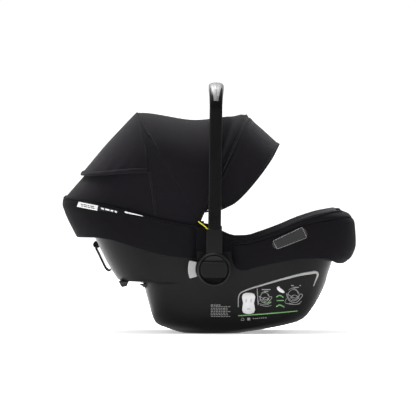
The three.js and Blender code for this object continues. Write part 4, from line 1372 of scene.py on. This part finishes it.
def flapGrid(cols=190, rows=50):
    # the rear panel's upper layer: from the side seams and the hoop to a hem that runs level round the back
    seamX, seamZ = np.array(seamShape["side"])[::-1].T * mm
    fine = np.linspace(0, 1, 400)[:, None]

    def bounds(u):
        # where each column of cloth passes the side seam, and where it reaches the hem
        spots = rearCloth(u[None, :], fine)
        past = spots[..., 0] < np.interp(spots[..., 2], seamZ, seamX) - 0.001
        below = spots[..., 2] < smoothRead(flapShape["hem"], spots[..., 0])
        hem = np.where(below.any(axis=0), fine[np.argmax(below, axis=0), 0], 1)
        return fine[np.argmax(past, axis=0), 0], hem

    trial = np.linspace(0.02, 0.5, 600)
    near, far = bounds(trial)
    start = trial[np.argmax(far > near + 0.01)]
    u = np.linspace(start, 1 - start, cols)
    near, far = [evened(line, 6) for line in bounds(u)]
    share = np.linspace(0, 1, rows)[:, None]
    v = near + (far - near) * share
    side = ease(np.minimum(u - start, 1 - start - u) / 0.05)
    puckers = 1.2 * ripple(u * 24, v * 5, 5, 41)
    puckers += 1.5 * np.sin(u * 190) * bump(np.minimum(u, 1 - u), start, 0.09)
    stand = flapShape["stand"] * ease(v / 0.45) * (0.4 + 0.6 * side)
    return rearCloth(u[None, :], v, 1.2 + 1.5 * hoopRound(u, v) + stand + puckers * share ** 3)


def blendBy(piece, near, far, share):
    # the piece follows near where share is 0 and far where it is 1
    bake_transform(piece, near, far, start=(-0.3, 0, 0.3), end=(0.3, 0, 0.3))
    weights = share(pointsOf(piece.data)).astype(np.float32)
    piece.data.attributes["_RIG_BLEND"].data.foreach_set("value", weights)


def outwardFrom(mesh, middle):
    # turns a sheet over if its faces look, on the whole, towards middle
    if sum((p.center - middle).dot(p.normal) * p.area for p in mesh.polygons) < 0:
        mesh.flip_normals()


def canopyPanel(name, grid, near, far, share, rests, *nodes):
    # a cloth panel between two bodies
    panel = gridPiece(name, grid, canopyCloth)
    outwardFrom(panel.data, Vector((canopyAt[0], 0, canopyAt[2])))
    addThickness(panel, canopyShape["cloth"] * mm)
    blendBy(panel, near, far, share)
    if nodes:
        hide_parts(*nodes)


def tiltOf(co):
    # the angle about the pivots, in degrees back from upright to the front
    return np.degrees(np.arctan2(co[:, 0] - canopyAt[0], np.maximum(co[:, 2] - canopyAt[2], 1e-4)))


def rearShare(co):
    # 1 on the rear hoop, easing to 0 at the rim
    return 1 - ease((canopyShape["rear"]["tilt"] - tiltOf(co)) / 48)


def flapHem(flap):
    # the flap's folded lower edge, a flat roll of cloth, and the row of stitches above it
    up = flap[-2, 2:-2] - flap[-1, 2:-2]
    along = flap[-1, 2:-2] - up * 0.1
    up = unit(up)
    wide, thick = np.array(flapShape["roll"]) * mm
    roll = sweep("flapHem", along + up * wide, oval(wide, thick, 14, 2.4), canopyCloth, side=up)
    out = unit(np.cross(up, np.gradient(along, axis=0)))
    out *= np.sign((out * (along - canopyAt)).sum())
    row = stitches("flapStitches", along + up * wide * 2.3 + out * 0.4 * mm, darkThread, 3.4, (2.4, 0.7))
    for piece in (roll, row):
        blendBy(piece, "seat", "rear_hoop", rearShare)


def canopyPanels():
    # roof, rear panel with its flap and hem, and visor
    rear, front = canopyShape["rear"]["tilt"], canopyShape["front"]["tilt"]

    def fan(low, high):
        # 0 at the angle low, easing to 1 at the angle high
        return lambda co: ease((tiltOf(co) - low) / (high - low))

    def rearLift(u, v):
        # full beside the hoop, sunk half way down, with gentle unevenness
        middle = np.sin(math.pi * u)
        sink = 2.0 * np.sin(math.pi * np.clip((v - 0.3) / 0.7, 0, 1)) * middle
        uneven = 1.2 * ripple(u * 22, v * 6, 5, 31) * middle * ease(v / 0.15) * ease((1 - v) / 0.1)
        return 1.5 * hoopRound(u, v) - sink + uneven

    def visorLift(u, v):
        # a sewn channel between two ridges, and a thicker free edge
        ridges = 2.0 * bump(v, 0.0, 0.05) + 1.6 * bump(v, 0.14, 0.05) - 1.2 * bump(v, 0.07, 0.03)
        uneven = ripple(u * 18, v * 4, 4, 51) * np.sin(math.pi * u) * np.sin(math.pi * v)
        return ridges + 1.2 * bump(v, 0.985, 0.02) + uneven

    roof = clothGrid(roofCloth, lambda u, v: 0.0)
    canopyPanel("canopyRoof", roof, "rear_hoop", "front_hoop", fan(rear, front), ["rear_hoop", "front_hoop"],
                "canopy_roof")
    canopyPanel("canopyRear", clothGrid(rearCloth, rearLift, 170, 50), "seat", "rear_hoop", rearShare,
                ["rear_cover", "rear_hoop"], "canopy_rear")
    flap = flapGrid()
    canopyPanel("canopyFlap", flap, "seat", "rear_hoop", rearShare, ["canopyRear"])
    flapHem(flap)
    visor = clothGrid(visorCloth, visorLift)
    canopyPanel("canopyVisor", visor, "front_hoop", "visor", fan(front, front + 24),
                ["front_hoop", "visor_hoop"], "canopy_visor")


canopyPanels()


hoopShape = {"bow": [2.6, 1.3], "visorBow": [2.2, 1.6], "inset": 9, "rearOut": 0.5, "frontOut": -1}


def hoops():
    # thin flat bows under the cloth; the visor's follows its free edge, set in from it
    inset, u = hoopShape["inset"], np.linspace(0, 1, 160)
    for name, node, key in (("rearHoop", "rear_hoop", "rear"), ("frontHoop", "front_hoop", "front")):
        shape = canopyShape[key]
        half = shape["side"] + hoopShape[f"{key}Out"]
        line = turnedArch(*arch(u, half, shape["reach"] - inset), shape["tilt"])
        bow = sweep(name, line, oval(*np.array(hoopShape["bow"]) * mm, 12, 3), trimBlack, side=(1, 0, 0))
        place(bow, node, "trim_plastic", node)
    reach = canopyShape["front"]["reach"] - inset
    across, up = arch(u[8:-8], canopyShape["visorSide"], reach)
    x, z = visorLine(np.minimum(up / (reach * mm), 1))
    line = np.column_stack([x - inset * 0.7 * mm, across, z - inset * 0.7 * mm])
    bow = sweep("visorHoop", line, oval(*np.array(hoopShape["visorBow"]) * mm, 12, 3), trimBlack)
    place(bow, "visor", "trim_plastic", "visor_hoop")


hoops()


def onCanopy(flat, lift):
    # [x, height] places in mm carried straight in from the right onto the canopy's rear panels
    spots, posed = [], bpy.context.evaluated_depsgraph_get()
    trees = [BVHTree.FromObject(bpy.data.objects[name], posed)
             for name in ("canopyRear", "canopyFlap", "canopyRoof")]
    for x, z in np.asarray(flat, float) * mm:
        hits = [tree.ray_cast(Vector((x, -1, z)), Vector((0, 1, 0)))[0] for tree in trees]
        near = min((hit.y for hit in hits if hit), default=None)
        if near is not None:
            spots.append([x, near - lift * mm, z])
    return np.array(spots)


def canopySeams():
    # the sewn joins: down each side of the rear panel, beside the front hoop and round the visor's free edge
    side = evened(onCanopy(evenly(spline(seamShape["side"], 120), 120), 0.3), 30)
    cord = sweep("sideSeam_right", side, oval(1.3 * mm, 1.1 * mm, 8), canopyCloth, side=(1, 0, 0))
    thread = stitches("sideSeamStitches_right", side + [-0.0045, -0.0003, 0], darkThread, 3.4, (2.4, 0.7))
    far = [mirroredCopy(piece, piece.name.replace("right", "left")) for piece in (cord, thread)]
    for piece in (cord, thread, *far):
        blendBy(piece, "seat", "rear_hoop", rearShare)
    u = np.linspace(0.04, 0.96, 400)
    top = roofCloth(np.linspace(0.27, 0.73, 200), np.full(200, 0.004), 0.6)
    place(sweep("rearRidge", top, oval(1.6 * mm, 1.2 * mm, 8), canopyCloth), "rear_hoop", "canopy_fabric")
    for name, body, line in (("rearSeam", "rear_hoop", roofCloth(u[80:-80], np.full(240, 0.02), 0.5)),
                             ("frontSeam", "front_hoop", visorCloth(u, np.full(400, 0.05), 2.2)),
                             ("visorHem", "visor", visorCloth(u, np.full(400, 0.955), 1.0))):
        thread = stitches(name, line, darkThread, 3.4, (2.4, 0.7), flat=unit(line.mean(axis=0) - canopyAt))
        place(thread, body, "canopy_fabric")
    hem = evenly(visorCloth(np.linspace(0.02, 0.98, 300), np.full(300, 1.0), 0.4), 260)
    edge = sweep("visorEdge", hem, oval(1.7 * mm, 0.9 * mm, 10), canopyCloth, side=(0.7, 0, 0.7))
    place(edge, "visor", "canopy_fabric")


canopySeams()

ribbonShape = {"line": [[-24, -186, 255], [-16, -188.5, 249.5], [-8, -189.5, 243], [0, -190, 236]],
               "half": [1.4, 0.8]}


def sideRibbon():
    # a short loop of ribbon between the canopy and the cover
    line = spline(np.array(ribbonShape["line"]) * mm, 20)
    ribbon = sweep("sideRibbon", line, oval(*np.array(ribbonShape["half"]) * mm, 8), edgeYellow)
    place(ribbon, "seat", "webbing")


sideRibbon()
print("canopy made")


fittings = {  # CAD node: its copy's name, material, rounding in mm and finish
    "buckle_body": ("buckleBody", trimBlack, 2.5, "trim_plastic"),
    "buckle_button": ("buckleButton", redButton, 2.0, "red_plastic"),
    "buckle_tongue_right": ("buckleTongue_right", steel, 0.8, "steel"),
    "buckle_tongue_left": ("buckleTongue_left", steel, 0.8, "steel"),
    "adjuster_housing": ("adjusterHousing", trimBlack, 1.5, "trim_plastic"),
    "adjuster_button": ("adjusterButton", hubGrey, 1.5, "trim_plastic"),
    "hub_socket_right": ("hubSocket_right", shellBlack, 1.0, "shell_plastic"),
    "hub_socket_left": ("hubSocket_left", shellBlack, 1.0, "shell_plastic"),
    "hub_axle_right": ("hubAxle_right", steel, 0.6, "steel"),
    "hub_axle_left": ("hubAxle_left", steel, 0.6, "steel"),
    "canopy_mount_right": ("canopyMount_right", trimBlack, 0.9, "trim_plastic"),
    "canopy_mount_left": ("canopyMount_left", trimBlack, 0.9, "trim_plastic"),
    "lever_pin": ("leverPin", steel, 0.4, "steel"),
    "latch_crossbar": ("latchCrossbar", darkSteel, 0.8, "steel"),
}


def fitOut():
    # the small hard parts: a welded copy of each CAD node, with rounded edges, stands in for it
    for node, (name, material, rounding, finish) in fittings.items():
        mesh = bpy.data.meshes.new(name)
        with editing(mesh) as work:
            work.from_mesh(frame["nodes"][node].data)
            bmesh.ops.remove_doubles(work, verts=work.verts, dist=0.02 * mm)
        piece = pieceFrom(name, mesh, material, 30)
        addBevel(piece, rounding * mm, 2, 30)
        place(piece, body_of(frame["nodes"][node])[0], finish, node)


latchShape = {  # mm, [x, height]
    "ear": [[-262.5, 196.5], [-262, 203], [-258, 205.5], [-250, 204], [-244, 196], [-252, 192], [-259, 193]],
    "blade": [[-258.5, 196], [-256, 189], [-250, 177], [-242, 160], [-235.5, 147], [-231, 141.5],
              [-226, 139.6], [-222.5, 142.5]],
    "hook": [[-157, 109.5], [-155, 112], [-120, 112], [-120, 103.5], [-147, 103.5], [-150.5, 107]],
    "foot": [[-204, 118], [-181, 118], [-185.5, 107.5], [-188, 106.3], [-196, 105], [-198.5, 106.5]],
    "bladeThick": 2.6, "halfWide": 55,
}


def latchParts():
    # the lever's bent blade on its pin, the lugs that hold the pin, the hooks and the rubber feet
    line = spline(latchShape["blade"], 40)
    ahead = unit(np.gradient(line, axis=0))
    side = np.column_stack([-ahead[:, 1], ahead[:, 0]]) * latchShape["bladeThick"] / 2
    half = latchShape["halfWide"] * mm
    outline = np.vstack([line - side, (line + side)[::-1]]) * mm
    blade = plate("leverBlade", outline, -half, half, trimBlack, 0.6, 2)
    pin = np.array(jointAt["lever_pull"]["pos_m"])
    profile = [[2.2, -55], [4.4, -55], [5, -54.2], [5, 54.2], [4.4, 55], [2.2, 55], [2.2, -55]]
    barrel = turned("leverBarrel", profile, pin, trimBlack, 32)
    place(blade, "lever", "trim_plastic")
    place(barrel, "lever", "trim_plastic", "release_lever")
    sets = [("leverEar", "ear", -64, -56.5, shellBlack, "seat", "shell_plastic", ""),
            ("latchHook", "hook", -104, -86, darkSteel, "latch", "steel", "latch_hook"),
            ("rearFoot", "foot", -120, -60, rubberBlack, "seat", "rubber", "rear_foot")]
    for name, outline, low, high, material, body, finish, node in sets:
        right = plate(f"{name}_right", np.array(latchShape[outline]) * mm, low * mm, high * mm, material, 1.0)
        for piece, hand in ((right, "right"), (mirroredCopy(right, f"{name}_left"), "left")):
            place(piece, body, finish, *([f"{node}_{hand}"] if node else []))


fitOut()
latchParts()
print("fittings made")


stageSetup = {"distance": 16.0, "elevation": 1.2, "across": 0.947, "aim": (-0.002, 0, 0.2815),
              "surroundings": {"From Min": -0.95, "From Max": -0.1, "To Min": 0.12, "To Max": 1.05},
              "lights": [("key", (-1.6, -1.7, 3.0), 1.6, 30), ("left", (-3.2, -0.9, 0.7), 1.6, 52),
                         ("top", (-0.5, 0.3, 3.4), 1.6, 430), ("right", (2.8, -0.6, 1.4), 1.2, 24)]}


def stage():
    # a white floor, a world that is dark behind the camera and white beyond the seat, and four soft lights
    floorPaint = Finish("floorPaint", (0.95, 0.95, 0.95), 0.95, Specular_IOR_Level=0.0,
                        Emission_Color=(1, 1, 1, 1), Emission_Strength=0.4)
    grain = floorPaint.noise(3.0, 2.0)
    floorPaint.rough(grain, 0.86, 0.94)
    bpy.ops.mesh.primitive_plane_add(size=400, location=(0, 80, cadLow.z - 0.0005))
    floor = bpy.context.object
    floor.name = "floor"
    floor.data.materials.append(floorPaint.material)
    world = bpy.data.worlds.new("studio")
    bpy.context.scene.world = world
    world.use_nodes = True
    nodes, links = world.node_tree.nodes, world.node_tree.links
    nodes["Background"].inputs["Color"].default_value = (1, 1, 1, 1)
    way, split, level = [nodes.new(f"ShaderNode{kind}") for kind in ("TexCoord", "SeparateXYZ", "MapRange")]
    level.interpolation_type = "SMOOTHSTEP"
    for socket, value in stageSetup["surroundings"].items():
        level.inputs[socket].default_value = value
    links.new(way.outputs["Generated"], split.inputs["Vector"])
    links.new(split.outputs["Y"], level.inputs["Value"])
    links.new(level.outputs["Result"], nodes["Background"].inputs["Strength"])
    aim = Vector(stageSetup["aim"])
    for name, spot, size, power in stageSetup["lights"]:
        light = bpy.data.lights.new(name, "AREA")
        light.size, light.energy = size, power
        lamp = bpy.data.objects.new(name, light)
        lamp.location = spot
        lamp.rotation_euler = (aim - Vector(spot)).to_track_quat("-Z", "Y").to_euler()
        bpy.context.scene.collection.objects.link(lamp)


def camera():
    # a long lens, so the view is nearly parallel: lens = sensor * distance / width seen
    data = bpy.data.cameras.new("camera")
    obj = bpy.data.objects.new("camera", data)
    bpy.context.scene.collection.objects.link(obj)
    elevation = math.radians(stageSetup["elevation"])
    back = Vector((0, -math.cos(elevation), math.sin(elevation)))
    data.sensor_width = 36
    data.lens = 36 * stageSetup["distance"] / stageSetup["across"]
    data.clip_end = 100
    obj.location = Vector(stageSetup["aim"]) + back * stageSetup["distance"]
    obj.rotation_mode = "QUATERNION"
    obj.rotation_quaternion = (-back).to_track_quat("-Z", "Y")
    bpy.context.scene.camera = obj


stage()
camera()
bpy.context.scene.view_settings.view_transform = "Standard"
